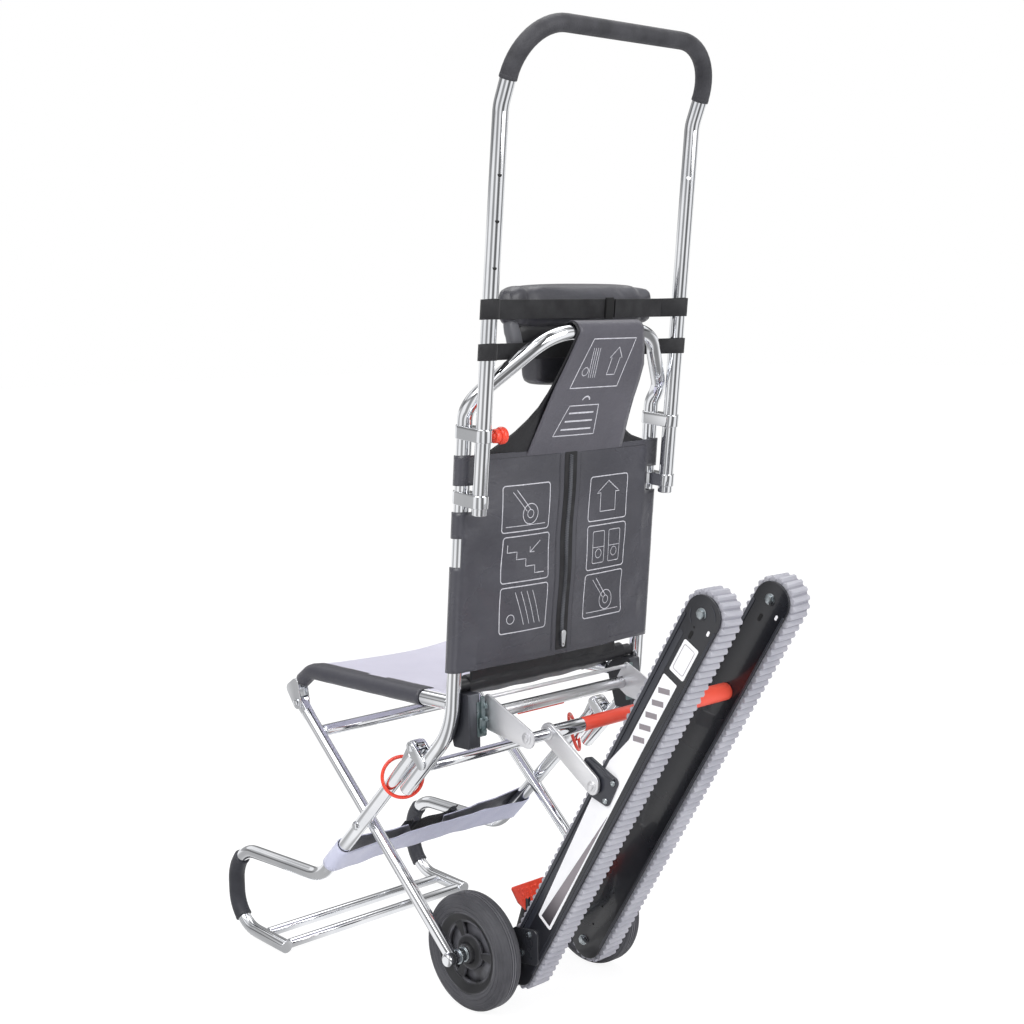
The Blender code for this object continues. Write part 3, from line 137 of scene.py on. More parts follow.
def make(name, shells, finish, body, stands_for="", slot=None, sharp=38.0, weld=False, wall=0.0):
    """One object from shells in chair millimetres, riding on a CAD body."""
    shells = [shells] if isinstance(shells, tuple) else shells
    starts = np.cumsum([0] + [len(points) for points, _, _ in shells[:-1]])
    faces = [[index + start for index in face] for (_, part, _), start in zip(shells, starts) for face in part]
    mesh = bpy.data.meshes.new(name)
    mesh.from_pydata((np.concatenate([part[0] for part in shells]) * MM + SHIFT).tolist(), [], faces)
    uvs = np.concatenate([part[2] for part in shells])
    mesh.uv_layers.new(name="UVMap").data.foreach_set("uv", uvs.astype(np.float32).ravel())
    solid = bmesh.new()
    solid.from_mesh(mesh)
    if weld:
        bmesh.ops.remove_doubles(solid, verts=solid.verts, dist=1e-6)
    bmesh.ops.delete(solid, geom=[vert for vert in solid.verts if not vert.link_faces], context="VERTS")
    bmesh.ops.recalc_face_normals(solid, faces=solid.faces[:])
    solid.to_mesh(mesh)
    solid.free()
    mesh.shade_smooth()
    mesh.set_sharp_from_angle(angle=math.radians(sharp))
    for each in finish if isinstance(finish, list) else [finish]:
        mesh.materials.append(each)
    made = bpy.data.objects.new(name, mesh)
    bpy.context.scene.collection.objects.link(made)
    if wall:
        thick = made.modifiers.new("wall", "SOLIDIFY")
        thick.thickness, thick.offset, thick.use_even_offset = wall * MM, 0.0, True
    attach(made, body)
    if stands_for:
        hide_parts(*stands_for.split())
    print(f"{name}: {len(mesh.polygons)} faces on {body}")
    return made


def flipped(shells):
    """Mirror images of shells: (x, y, z) goes to (-x, y, z)."""
    return [(points * [-1, 1, 1], faces, uvs) for points, faces, uvs in shells]


def pair(name, shells, finish, body, stands_for="", *more, **rest):
    """A piece on the left and its mirror image on the right; {} in a name becomes the side's word."""
    shells = [shells] if isinstance(shells, tuple) else shells
    return [make(f"{name}_{word}", part, finish, body.format(word), stands_for.format(word), *more, **rest)
            for word, part in (("left", shells), ("right", flipped(shells)))]


# %% [markdown]
# ## Bent tube
# A tube bender leaves straight runs joined by arcs. The path is built the same way, and a circle is
# carried along it. A fixed reference direction keeps the circles from twisting.

# %% Paths and tubes
def rounded(points, radii, steps=12):
    """Corner with turn t and radius r: centre + (sin((1-s)t) a + sin(st) b) / sin t, s from 0 to 1."""
    points = np.asarray(points, float)
    path, s = [points[:1]], np.linspace(0, 1, steps + 1)[:, None]
    for before, corner, after, radius in zip(points, points[1:], points[2:], radii):
        back, on = unit(before - corner), unit(after - corner)
        half = math.acos(float(back @ on)) / 2
        centre = corner + unit(back + on) * radius / math.sin(half)
        a, b = corner + back * radius / math.tan(half) - centre, corner + on * radius / math.tan(half) - centre
        turn = math.pi - 2 * half
        path.append(centre + (np.sin((1 - s) * turn) * a + np.sin(s * turn) * b) / math.sin(turn))
    return np.vstack(path + [points[-1:]])


def mirror(path):
    """A path on the left, then its mirror image back down the right side."""
    return np.vstack([path, path[::-1] * [-1, 1, 1]])


def tube(path, radius=FRAME_R, sides=28, edge=0.8, part=slice(None)):
    """Points p(s) + r (cos t a + sin t b), a and b across the path; the ends turn in over edge."""
    path = np.asarray(path, float)
    tangent, path = unit(np.gradient(path, axis=0))[part], path[part]
    across = unit(np.cross(tangent, (0.31, -1.0, 0.27)))
    bend = np.radians([80, 50, 25])
    cap, reach = radius - edge + edge * np.cos(bend), edge * np.sin(bend)[:, None]
    points = np.vstack([path[0] - tangent[0] * reach, path, path[-1] + tangent[-1] * reach[::-1]])
    sizes = np.r_[cap, np.full(len(path), radius), cap[::-1]][:, None, None]
    a, b = (np.pad(way, ((3, 3), (0, 0)), "edge")[:, None] for way in (across, np.cross(across, tangent)))
    turn = around(sides)[None, :, None]
    return shell(points[:, None] + sizes * (np.cos(turn) * a + np.sin(turn) * b), close_cols=True, caps=True)


def softened(profile, edge):
    """A profile whose corners are cut back twice, so that lathe work has a fine rounded edge."""
    points = np.asarray(profile, float)
    for amount in (edge, edge * 0.35):
        cut = [points + way * np.minimum(amount / np.maximum(np.linalg.norm(way, axis=1), 1e-9), 0.4)[:, None]
               for way in (np.roll(points, 1, 0) - points, np.roll(points, -1, 0) - points)]
        points = np.vstack([points[:1], np.stack(cut, 1)[1:-1].reshape(-1, 2), points[-1:]])
    return points


def spun(profile, origin, axis=(1.0, 0.0, 0.0), sides=48, closed=False, edge=0.0):
    """Lathe work: point (a, r) of the profile goes to origin + a k + r (cos t u + sin t v)."""
    profile = softened(profile, edge) if edge else np.asarray(profile, float)
    axis = unit(np.asarray(axis, float))
    u = unit(np.cross(axis, [0.12, 0.31, 1.0] if abs(axis[2]) < 0.9 else [1.0, 0.2, 0.1]))
    turn = around(sides)[None, :, None]
    points = (np.asarray(origin, float) + profile[:, 0, None, None] * axis
              + profile[:, 1, None, None] * (np.cos(turn) * u + np.sin(turn) * np.cross(axis, u)))
    return shell(points, close_rows=closed, close_cols=True, caps=not closed)


def bar(x0, x1, point, radius, sides=36, edge=0.8):
    """Round bar across the chair, with a fine rounded edge at each end."""
    return spun([(x0, radius * 0.2), (x0, radius), (x1, radius), (x1, radius * 0.2)], (0.0, *point), sides=sides,
                edge=edge)


def sleeve(path, first, last, radius, sides, edge, half, rim):
    """Rubber tube over part of a path, with a thin raised rim, 2 half long, at each end."""
    shells = [tube(path, radius, sides, edge, slice(first, last + 1))]
    for end in (first, last):
        shells.append(spun([(-half, 11.2), (-half, rim), (half, rim), (half, 11.2)], path[end],
                           unit(path[end + 1] - path[end - 1]), sides, edge=0.5))
    return shells


# %% [markdown]
# ## Plates
# Cut plates on this chair are nearly all rounded shapes. A cord pulled tight round a few circles
# gives each outline from one formula, and moving every circle's radius gives the rounded rim.

# %% Plates from circles
def side(a, b, depth):
    return np.stack(np.broadcast_arrays(depth, a, b), -1)


def front(a, b, depth):
    return np.stack(np.broadcast_arrays(a, depth, b), -1)


def pulled(circles, count=96, inset=0.0):
    """For each direction n: c + (r - inset) n, with the circle (c, r) that reaches furthest along n."""
    n = np.stack([np.cos(around(count)), np.sin(around(count))], 1)
    centres, radii = (np.array(list(each), float) for each in zip(*circles))
    best = np.argmax(centres @ n.T + radii[:, None], axis=0)
    return centres[best] + (radii[best, None] - np.atleast_1d(inset)[:, None, None]) * n


def plate(circles, low, high, edge=0.6, place=side, count=96):
    """Plate between two depths: outline inset by e (1 - cos a) at depth e (1 - sin a) near each face."""
    a = np.radians([0, 30, 60, 90])
    edge = min(edge, abs(high - low) / 2.05)
    step = math.copysign(1.0, high - low)
    inset = edge * (1 - np.sin(a))
    depth = np.r_[low + step * edge * (1 - np.cos(a)), high - step * edge * (1 - np.cos(a[::-1]))]
    outline = pulled(circles, count, np.r_[inset, inset[::-1]])
    return shell(place(outline[..., 0], outline[..., 1], depth[:, None]), close_cols=True, caps=True)


def box_circles(a0, a1, b0, b1, corner):
    """Four corner circles of a rounded rectangle."""
    return [((a, b), corner) for a in (a0 + corner, a1 - corner) for b in (b0 + corner, b1 - corner)]


def hex_head(origin, radius=5.5, tall=3.5, washer=7.0, axis=(1, 0, 0)):
    """Hexagon head on a round washer, set on a face."""
    return [spun([(0.8, radius * 0.3), (0.8, radius), (tall, radius), (tall + 0.5, radius * 0.82),
                  (tall + 0.5, radius * 0.2)], origin, axis, 6),
            spun([(0, washer * 0.3), (0, washer), (1.0, washer), (1.2, washer - 0.4), (1.2, washer * 0.3)],
                 origin, axis, 28)]


print("helpers ready")

# %% [markdown]
# ## Finishes
# Each finish is a Principled shader. Noise on Object coordinates varies its colour and roughness, and
# a finer one drives Bump. Object coordinates don't depend on UVs, so they also suit the CAD's own
# meshes. Colours are given as sRGB numbers from 0 to 255.

# %% Node helpers and the common finish
def node(tree, kind, inputs=None, **settings):
    """New shader node with its settings, and each input given a value or a link."""
    made = tree.nodes.new("ShaderNode" + kind)
    for key, value in settings.items():
        setattr(made, key, value)
    for key, value in (inputs or {}).items():
        if isinstance(value, bpy.types.NodeSocket):
            tree.links.new(value, made.inputs[key])
        else:
            made.inputs[key].default_value = value
    return made


def rgb(colour):
    """sRGB values from 0 to 255 as linear colour, the space that shaders work in."""
    value = np.array(colour) / 255
    return (*map(float, np.where(value <= 0.04045, value / 12.92, ((value + 0.055) / 1.055) ** 2.4)), 1.0)


def maths(tree, operation, *values):
    return node(tree, "Math", dict(enumerate(values)), operation=operation).outputs["Value"]


def ramp(tree, factor, low, high, a=0.0, b=1.0):
    """Number that goes from a to b while factor goes from low to high."""
    return node(tree, "MapRange", {"Value": factor, "From Min": low, "From Max": high, "To Min": a,
                                   "To Max": b}).outputs["Result"]


def mixed(tree, factor, one, two):
    return node(tree, "MixRGB", {"Fac": factor, "Color1": one, "Color2": two}).outputs["Color"]


def finish(name, one, two, rough, metal=0.0, patch=9.0, grain=600.0, bump=0.15, depth=0.0003,
           rough_change=0.08, coat=0.0, sheen=0.0, stretch=(1, 1, 1), wear=None):
    """Two close colours mixed by slow noise, roughness by the same noise, bump by fine noise."""
    material = bpy.data.materials.new(name)
    material.use_nodes = True
    tree = material.node_tree
    shader = tree.nodes["Principled BSDF"]
    place = node(tree, "TexCoord").outputs["Object"]
    place = node(tree, "Mapping", {"Vector": place, "Scale": stretch}).outputs["Vector"]
    slow, fine = (node(tree, "TexNoise", {"Vector": place, "Scale": scale, "Detail": detail}).outputs["Fac"]
                  for scale, detail in ((patch, 5.0), (grain, 3.0)))
    colour = mixed(tree, ramp(tree, slow, 0.35, 0.65), rgb(one), rgb(two))
    if wear is not None:
        edge = node(tree, "NewGeometry").outputs["Pointiness"]
        worn = maths(tree, "MULTIPLY", ramp(tree, edge, 0.53, 0.6), ramp(tree, slow, 0.3, 0.6))
        colour = mixed(tree, worn, colour, rgb(wear))
    raised = node(tree, "Bump", {"Strength": bump, "Distance": depth, "Height": fine}).outputs["Normal"]
    haze = ramp(tree, slow, 0.3, 0.7, max(rough - rough_change, 0.02), rough + rough_change)
    for socket, made in (("Base Color", colour), ("Roughness", haze), ("Normal", raised)):
        tree.links.new(made, shader.inputs[socket])
    for socket, value in (("Metallic", metal), ("Coat Weight", coat), ("Sheen Weight", sheen),
                          ("Sheen Roughness", 0.4)):
        shader.inputs[socket].default_value = value
    return material


def parts_of(material):
    """The tree, shader and bump node of a finish, to add to it."""
    tree = material.node_tree
    return tree, tree.nodes["Principled BSDF"], next(n for n in tree.nodes if n.type == "BUMP")


# %% [markdown]
# Chrome plate is almost a mirror, so most of its look comes from the light. Paint on the track plates
# is smooth and nearly black, moulded plastic has a grain, and rubber scatters light with a fine grey
# bloom. Edges that get rubbed are a little lighter.

# %% Metal, paint, plastic and rubber
CHROME = finish("chrome_plate", (240, 241, 244), (226, 228, 232), 0.07, 1.0, 14, 900, 0.02, rough_change=0.03)
SATIN = finish("satin_steel", (236, 237, 239), (222, 223, 226), 0.3, 1.0, 22, 1400, 0.08, rough_change=0.07)
PLATE = finish("brushed_plate", (242, 242, 244), (230, 230, 234), 0.36, 0.85, 18, 700, 0.1,
               stretch=(1, 0.12, 1), rough_change=0.06)
ZINC = finish("zinc_plate", (196, 202, 206), (168, 176, 180), 0.28, 1.0, 90, 1600, rough_change=0.1)
ZINC_DARK = finish("zinc_latch", (150, 162, 164), (108, 124, 126), 0.34, 0.9, 70, 900, 0.2, rough_change=0.1)
BLACK_PAINT = finish("black_paint_gloss", (26, 27, 32), (34, 35, 41), 0.28, 0, 7, 260, 0.06, coat=0.35,
                     wear=(90, 92, 96))
RAIL_PAINT = finish("rail_paint", (40, 42, 50), (52, 54, 62), 0.36, 0, 12, 300, 0.08, coat=0.2,
                    wear=(110, 112, 118))
BLACK_PLASTIC = finish("moulded_black", (38, 39, 45), (48, 49, 56), 0.42, 0, 16, 900, 0.35, wear=(96, 98, 104))
RED_PLASTIC = finish("red_plastic", (236, 72, 50), (226, 60, 42), 0.32, 0, 20, 700, 0.12, coat=0.2,
                     wear=(246, 130, 108))
RED_PAINT = finish("red_powder_paint", (238, 76, 52), (228, 62, 44), 0.38, 0, 12, 1500, 0.3, wear=(248, 140, 116))
GRIP_RUBBER = finish("grip_rubber", (62, 62, 67), (46, 46, 51), 0.62, 0, 30, 420, 0.9, 0.0006, sheen=0.1)
SLEEVE = finish("sleeve_rubber", (44, 45, 52), (58, 59, 66), 0.5, 0, 24, 500, 0.5)
TYRE = finish("tyre_rubber", (76, 76, 81), (64, 64, 69), 0.7, 0, 26, 900, 0.4, sheen=0.15, wear=(128, 128, 134))
RIM = finish("rim_plastic", (30, 30, 33), (38, 38, 42), 0.48, 0, 30, 800, 0.3, wear=(104, 104, 110))
BELT = finish("belt_rubber", (176, 176, 184), (162, 162, 171), 0.6, 0, 20, 700, 0.4, sheen=0.1)
# Darker copy of the belt rubber for the floors between ribs: painted shade in the grooves.
BELT_GROOVE_SHADE = finish("belt_groove", (148, 148, 157), (135, 135, 144), 0.7, 0, 20, 700, 0.3)
# Near black: the own colour of stitches and the strap keeper, and painted shade inside holes and slots.
DARK_AND_HOLE_SHADE = finish("dark_recess", (14, 14, 16), (20, 20, 22), 0.7, bump=0.1)
WHITE = finish("white_decal", (250, 250, 252), (243, 243, 246), 0.3, 0, 10, 200, 0.04, coat=0.3)
INK = finish("print_ink", (214, 214, 220), (188, 188, 196), 0.5, 0, 160, 900, 0.1)

# %% [markdown]
# The covers are coated fabric: a smooth skin with a fine leather grain and slow dents. Voronoi cells
# give the grain, and noise stretched across the chair gives the dents. Webbing is woven: threads
# cross at a fixed pitch, so its pattern follows the strap. It reads the UV map, which is in metres.

# %% Coated fabric and webbing
def vinyl(name, one, two, rough, cell=1500.0, dent=0.35, coat=0.05):
    """Coated fabric: Voronoi grain over slow folds, as two bumps one after the other."""
    material = finish(name, one, two, rough, patch=5.0, grain=30.0, bump=dent, depth=0.004, rough_change=0.06,
                      sheen=0.08, coat=coat, stretch=(1, 1, 1.4))
    tree, shader, folds = parts_of(material)
    cells = node(tree, "TexVoronoi", {"Vector": node(tree, "TexCoord").outputs["Object"], "Scale": cell},
                 feature="DISTANCE_TO_EDGE").outputs["Distance"]
    grain = node(tree, "Bump", {"Strength": 0.22, "Distance": 0.0002, "Height": ramp(tree, cells, 0.0, 0.25),
                                "Normal": folds.outputs["Normal"]})
    tree.links.new(grain.outputs["Normal"], shader.inputs["Normal"])
    return material


def webbing(name, one, two, pitch=0.0016):
    """Twill: two crossed waves on the UV map, their product as bump."""
    material = finish(name, one, two, 0.7, patch=40, grain=900, bump=0.2, sheen=0.12)
    tree, shader, fine = parts_of(material)
    place = node(tree, "UVMap", uv_map="UVMap").outputs["UV"]
    waves = []
    for turn in (35, -35):
        turned = node(tree, "Mapping", {"Vector": place, "Rotation": (0, 0, math.radians(turn))}).outputs["Vector"]
        waves.append(node(tree, "TexWave", {"Vector": turned, "Scale": 0.31 / pitch}).outputs["Fac"])
    weave = node(tree, "Bump", {"Strength": 0.6, "Distance": 0.0004, "Height": maths(tree, "MULTIPLY", *waves),
                                "Normal": fine.outputs["Normal"]})
    tree.links.new(weave.outputs["Normal"], shader.inputs["Normal"])
    return material


COVER = vinyl("cover_vinyl", (76, 76, 83), (62, 62, 69), 0.28, dent=0.55, coat=0.15)
TONGUE = vinyl("tongue_vinyl", (92, 91, 99), (78, 77, 85), 0.34, dent=0.5, coat=0.12)
LINING = vinyl("cover_lining", (24, 24, 28), (32, 32, 37), 0.4)
PAD = vinyl("pad_vinyl", (72, 72, 78), (58, 58, 64), 0.36, 900.0, 0.5, 0.12)
# Lighter copy of the pad vinyl: a painted highlight, the sheen on the pad's wing.
WING_PAINTED_SHEEN = vinyl("wing_vinyl", (104, 105, 110), (84, 85, 90), 0.36, 900.0, 0.5, 0.12)
SEAT_SIDE = vinyl("seat_side_vinyl", (70, 70, 78), (60, 60, 68), 0.4)
SEAT_TOP = vinyl("seat_top_fabric", (218, 216, 232), (207, 205, 222), 0.5, 1900.0, 0.25)
CALF_OUT = vinyl("calf_outer", (206, 208, 228), (192, 194, 216), 0.42, 1900.0)
# Darker copy of the calf fabric: painted shade for the strap's inner face in shadow.
CALF_IN_PAINTED_SHADE = vinyl("calf_inner", (112, 113, 124), (96, 97, 108), 0.45, 1900.0)
HEM = vinyl("hem_vinyl", (72, 72, 79), (64, 64, 71), 0.38)
WEBBING = webbing("black_webbing", (38, 38, 41), (27, 27, 30))
print("finishes:", len(bpy.data.materials))

# %% [markdown]
# ## Back frame
# One bent tube makes the uprights and the hoop. Its lower ends turn forward into two lug plates that
# carry the lower frame. A zinc latch with its bolts sits tight against the rear of each hinge block.

# %% Back hoop, crossbar and latches
HOOP_TOP = np.array([166.0, 1018.0])
kink = np.array([float(upright_y(908)), 908.0])
shoulder = kink + (HOOP_TOP - kink) * 0.2
hoop_line = [(FRAME_HALF, *point) for point in (BACK_KNEE + 151 * DOWN, BACK_KNEE, kink, shoulder)]
hoop_line += [(102, *HOOP_TOP), (0, *HOOP_TOP)]
lugs = [plate([(LOWER_PIVOT, 9), (LUG_FOOT, 9)], x, x + 4) for x in (FRAME_HALF + 9, FRAME_HALF - 13)]
lugs += [bar(185, 208, LOWER_PIVOT, 4)] + hex_head((208, *LOWER_PIVOT), 5.6, 2.0, 6.4)
hoop = [tube(mirror(rounded(hoop_line, [110, 30, 50, 85])[:-1]), edge=4)] + lugs + flipped(lugs)
make("hoop_and_lugs", hoop, CHROME, "back_frame", "back_hoop", "chrome")
make("lower_crossbar", bar(-181.7, 181.7, BACK_KNEE + 94 * DOWN, 8), CHROME, "back_frame", "back_crossbar", "chrome")
latch = [plate(box_circles(150, 168, 437, 489, 2.5), 61.1, 62.9, place=front),
         plate(box_circles(155.5, 162.5, 441, 497, 1.5), 62.9, 66.5, place=front),
         spun([(0, 0.5), (0, 2.4), (16, 2.4), (16, 0.5)], (164, 64.5, 450), (0, 0.1, 1), edge=0.8)]
for word, sign, zinc in (("left", 1, latch), ("right", -1, flipped(latch))):
    for z in (446, 463, 482):
        zinc += hex_head((sign * (159 + 4 * math.sin(z)), 66.0, z), 3.6, 3.0, 4.6, (0, 1, 0))
    make(f"latch_{word}", zinc, ZINC_DARK, "back_frame", slot="steel")

# %% [markdown]
# ## Handle
# The handle tube has a kink on each side and two top corners. A dark patch, painted shade in place of
# the hole's shaded inside, lies on the tube for each locking hole, at distance sqrt(R^2 - u^2) from its
# middle. The locking pin's knob is a superellipse turned round: r = R (1 - |s|^2.6)^(1/2.6) for s from -1
# to 1 along the pin.

# %% Handle tube, holes, grip and locking knob
HANDLE_HALF = 196.0
handle_line = [(HANDLE_HALF, float(handle_y(768.2)), 768.2), (HANDLE_HALF, 171, 1320), (HANDLE_HALF, 219, 1429.6)]
handle_path = mirror(rounded(handle_line + [(0, 219, 1429.6)], [60, 80], 14)[:-1])
make("handle_bow", tube(handle_path, edge=1.5), CHROME, "handle", "handle_tube", "chrome")


def hole_patch(x, z, angle, radius=3.2):
    """Polar patch (rho cos t, rho sin t) laid on a handle tube, facing an angle round it."""
    rho, turn = np.array([0.2, 1.5, radius])[:, None], around(20)
    across = rho * np.cos(turn)
    out = np.sqrt((FRAME_R + 0.12) ** 2 - across ** 2)
    return shell(side(handle_y(z) + out * math.sin(angle) + across * math.cos(angle), z + rho * np.sin(turn),
                      x + out * math.cos(angle) - across * math.sin(angle)), close_cols=True)


# Each dark patch is painted shade standing for the inside of a locking hole.
make("handle_holes", [hole_patch(HANDLE_HALF, z, 1.16) for z in (1229.8, 1169.1, 1107.0)], DARK_AND_HOLE_SHADE, "handle")
make("handle_plug", hole_patch(-HANDLE_HALF, 1243.6, 0.8, 3.6), WHITE, "handle")
grip = sleeve(handle_path, 16, len(handle_path) - 17, 12.6, 40, 1.6, 3, 12.8)
make("grip_sleeve", grip, GRIP_RUBBER, "handle", "handle_grip", "grip")

knob_low, knob_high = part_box("lock_knob")
knob_at = (0, (knob_low.y + knob_high.y) / 2 / MM - SHIFT[1] / MM, (knob_low.z + knob_high.z) / 2 / MM)
s = np.linspace(-0.995, 0.995, 25)
head = np.stack([161.5 + 7.4 * s, 12.5 * (1 - np.abs(s) ** 2.6) ** (1 / 2.6)], 1)
neck = [(180.1, 0.5), (180.1, 5), (177.5, 5), (177.5, 9.8), (169, 10.4), (167, 7.4), (166, 0.5)]
make("knob_head", [spun(head, knob_at), spun(neck, knob_at, edge=1.0)], RED_PLASTIC, "knob", "lock_knob",
     "red_plastic")

# %% [markdown]
# ## Back cover
# The cover is one sheet of coated fabric, laced round both uprights, so its surface is a formula:
# round the tube first, then flat across with a slight bulge. Faces are left out where the uprights
# show and where the collars grip them. Sines give the folds of fabric pulled between two tubes.

# %% Cover surface
WRAP = 12.73


def slack(x, z):
    """Low folds in mm: crossed sines, strongest near the outer edges."""
    tight = 0.6 + 0.4 * np.clip(np.abs(x) / 190, 0, 1)
    waves = (2.8 * np.sin(x / 31 + z / 53) * np.sin(z / 41 - x / 77)
             + 0.7 * np.sin(z / 17 + x / 39) * np.sin(x / 47 + 1.3)
             + 1.1 * np.sin((z - 0.6 * np.abs(x)) / 11) * np.exp(-((np.abs(x) - 150) / 34) ** 2)
             * (0.35 + 0.65 * np.sin(z / 60) ** 2))
    return tight * waves


def cover_y(x, z):
    """Rear surface across the back: upright + wrap + 8 (1 - (x / half)^2) + folds."""
    x, z = np.broadcast_arrays(np.asarray(x, float), np.asarray(z, float))
    bulge = 8 * (1 - np.minimum(np.abs(x) / FRAME_HALF, 1) ** 2)
    return upright_y(z) + WRAP + bulge + slack(x, z) * (np.abs(x) < 172)


levels = np.unique(np.r_[np.linspace(536, 690, 26), np.linspace(690, 732, 7), np.linspace(732, 769.4, 7),
                         np.linspace(769.4, 807.4, 7), np.linspace(807.4, 850, 9)])
z, turn = levels[:, None], np.radians(np.arange(-60, 90, 10.0))
flat = np.r_[FRAME_HALF, np.linspace(178, 0, 30)]
x = np.r_[FRAME_HALF + WRAP * np.cos(turn), flat] + 0 * z
halves = [side(np.concatenate([upright_y(z) + WRAP * np.sin(turn), cover_y(sign * flat, z)], 1), z, sign * x)
          for sign in (1, -1)]
grid = np.concatenate([halves[0], halves[1][:, -2::-1]], 1)
angle = np.r_[np.degrees(turn), np.full(len(flat), 90.0)]
angle = np.r_[angle, angle[-2::-1]]
mid_z = (levels[1:] + levels[:-1])[:, None] / 2
mid_x = np.abs(grid[0, 1:, 0] + grid[0, :-1, 0])[None] / 2
mid_angle = (angle[1:] + angle[:-1])[None] / 2
window = (mid_z > 690) & (mid_z < 732) & (mid_angle < 62)
collar_gap = (mid_z > 769.4) & (mid_z < 807.4) & (mid_x > 178)
cover = make("cover_sheet", shell(grid, keep=~(window | collar_gap)), COVER, "back_frame", "back_cover", "vinyl",
             wall=1.8)

# %% [markdown]
# Hems are sewn double. A narrow raised band along each edge, with a row of stitches on it, reads as
# a hem at this distance. Stitches are short dashes: a ribbon broken at a fixed pitch.

# %% Ribbons, hems and stitches
def ribbon(line, width, place, closed=False):
    """Strip along a line in the plane: each point moved half the width to both sides, then placed."""
    line = np.asarray(line, float)
    ahead = np.roll(line, -1, 0) - np.roll(line, 1, 0) if closed else np.gradient(line, axis=0)
    normal = unit(np.stack([-ahead[:, 1], ahead[:, 0]], 1))
    edges = np.stack([line - normal * width / 2, line, line + normal * width / 2], 1)
    return shell(place(edges[..., 0], edges[..., 1]), close_rows=closed)


def dashes(line, pitch, width, share, place):
    """Stitches: the line walked at a fixed pitch, each step covered for a share of its length."""
    run = np.r_[0, np.cumsum(np.linalg.norm(np.diff(line, axis=0), axis=1))]
    start = np.arange(0, run[-1] - pitch, pitch)
    a, b = (np.stack([np.interp(start + pitch * step, run, line[:, k]) for k in (0, 1)], 1) for step in (0, share))
    normal = unit(np.stack([-(b - a)[:, 1], (b - a)[:, 0]], 1)) * width / 2
    quad = np.stack([a - normal, a + normal, b + normal, b - normal], 1)
    points = place(quad[..., 0], quad[..., 1]).reshape(-1, 3)
    return points, np.arange(len(points)).reshape(-1, 4).tolist(), np.zeros((len(points), 2))


def on_cover(lift):
    """Place (x, z) on the cover's rear face, lifted by a few tenths of a millimetre."""
    return lambda x, z: front(x, z, cover_y(x, z) + 0.9 + lift)


def dense(*corners, step=4.0, closed=False):
    """Straight runs between corners, cut into short steps so that a ribbon can follow the fabric."""
    corners = [np.asarray(c, float) for c in corners + corners[:1] * closed]
    runs = [a + (b - a) * np.linspace(0, 1, max(int(np.linalg.norm(b - a) / step), 2))[:-1, None]
            for a, b in zip(corners, corners[1:])]
    return np.vstack(runs + ([] if closed else [corners[-1][None]]))


hems, threads = [], []
for sign in (1, -1):
    hems += [ribbon(dense((sign * 12, z), (sign * 172, z)), 8, on_cover(0.35)) for z in (845, 541)]
    hems.append(ribbon(dense((sign * 17, 540), (sign * 17, 846)), 9, on_cover(0.45)))
    for run in (((20, 543), (20, 843)), ((22, 842), (170, 842))):
        threads.append(dashes(dense(*(np.array(run) * [sign, 1])), 3.2, 0.5, 0.6, on_cover(0.6)))
make("cover_hems", hems, HEM, "back_frame", slot="vinyl")
make("cover_stitches", threads, DARK_AND_HOLE_SHADE, "back_frame")

# %% [markdown]
# The zip runs down the middle: dark tape, two rows of moulded teeth that interlock, and a metal
# puller at the bottom. Each tooth is one small block.

# %% Zip
def blocks(centres, half):
    """Cuboids: corner = centre + (+-half x, +-half y, +-half z), all of them at once."""
    signs = np.array([[x, y, z] for x in (-1, 1) for y in (-1, 1) for z in (-1, 1)])
    corners = np.asarray(centres, float)[:, None] + signs * half
    box = np.array([[0, 1, 3, 2], [4, 6, 7, 5], [0, 4, 5, 1], [2, 3, 7, 6], [0, 2, 6, 4], [1, 5, 7, 3]])
    faces = (np.arange(len(corners))[:, None, None] * 8 + box).reshape(-1, 4)
    return corners.reshape(-1, 3), faces.tolist(), np.zeros((faces.size, 2))


tooth_z = np.arange(548, 838, 2.6)
teeth = [blocks(front(x, tooth_z + shift, cover_y(x, tooth_z) + 2.4), (1.9, 0.7, 0.75))
         for x, shift in ((-1.4, 0.0), (1.4, 1.3))]
make("zip_tape", ribbon(dense((0, 543), (0, 846)), 24, on_cover(0.75)), WEBBING, "back_frame", "zip_strip", "webbing")
make("zip_teeth", teeth, BLACK_PLASTIC, "back_frame", sharp=20)

# %% [markdown]
# ## Printed panels
# Light outlines are printed on the cover. They stay plain here: rounded frames with simple shapes
# of their own (a wheel, steps, arrows, bars). Each line is a ribbon that follows the fabric.

# %% Drawing on the cloth
def frame_line(x0, x1, z0, z1, corner=5.0, count=72):
    """Outline of a rounded rectangle, as points in the plane."""
    outline = pulled(box_circles(x0, x1, z0, z1, corner), count)[0]
    return dense(*outline, outline[0], step=3.0)[:-1]


def ring_line(x, z, radius):
    return np.stack([x + radius * np.cos(around(36)), z + radius * np.sin(around(36))], 1)


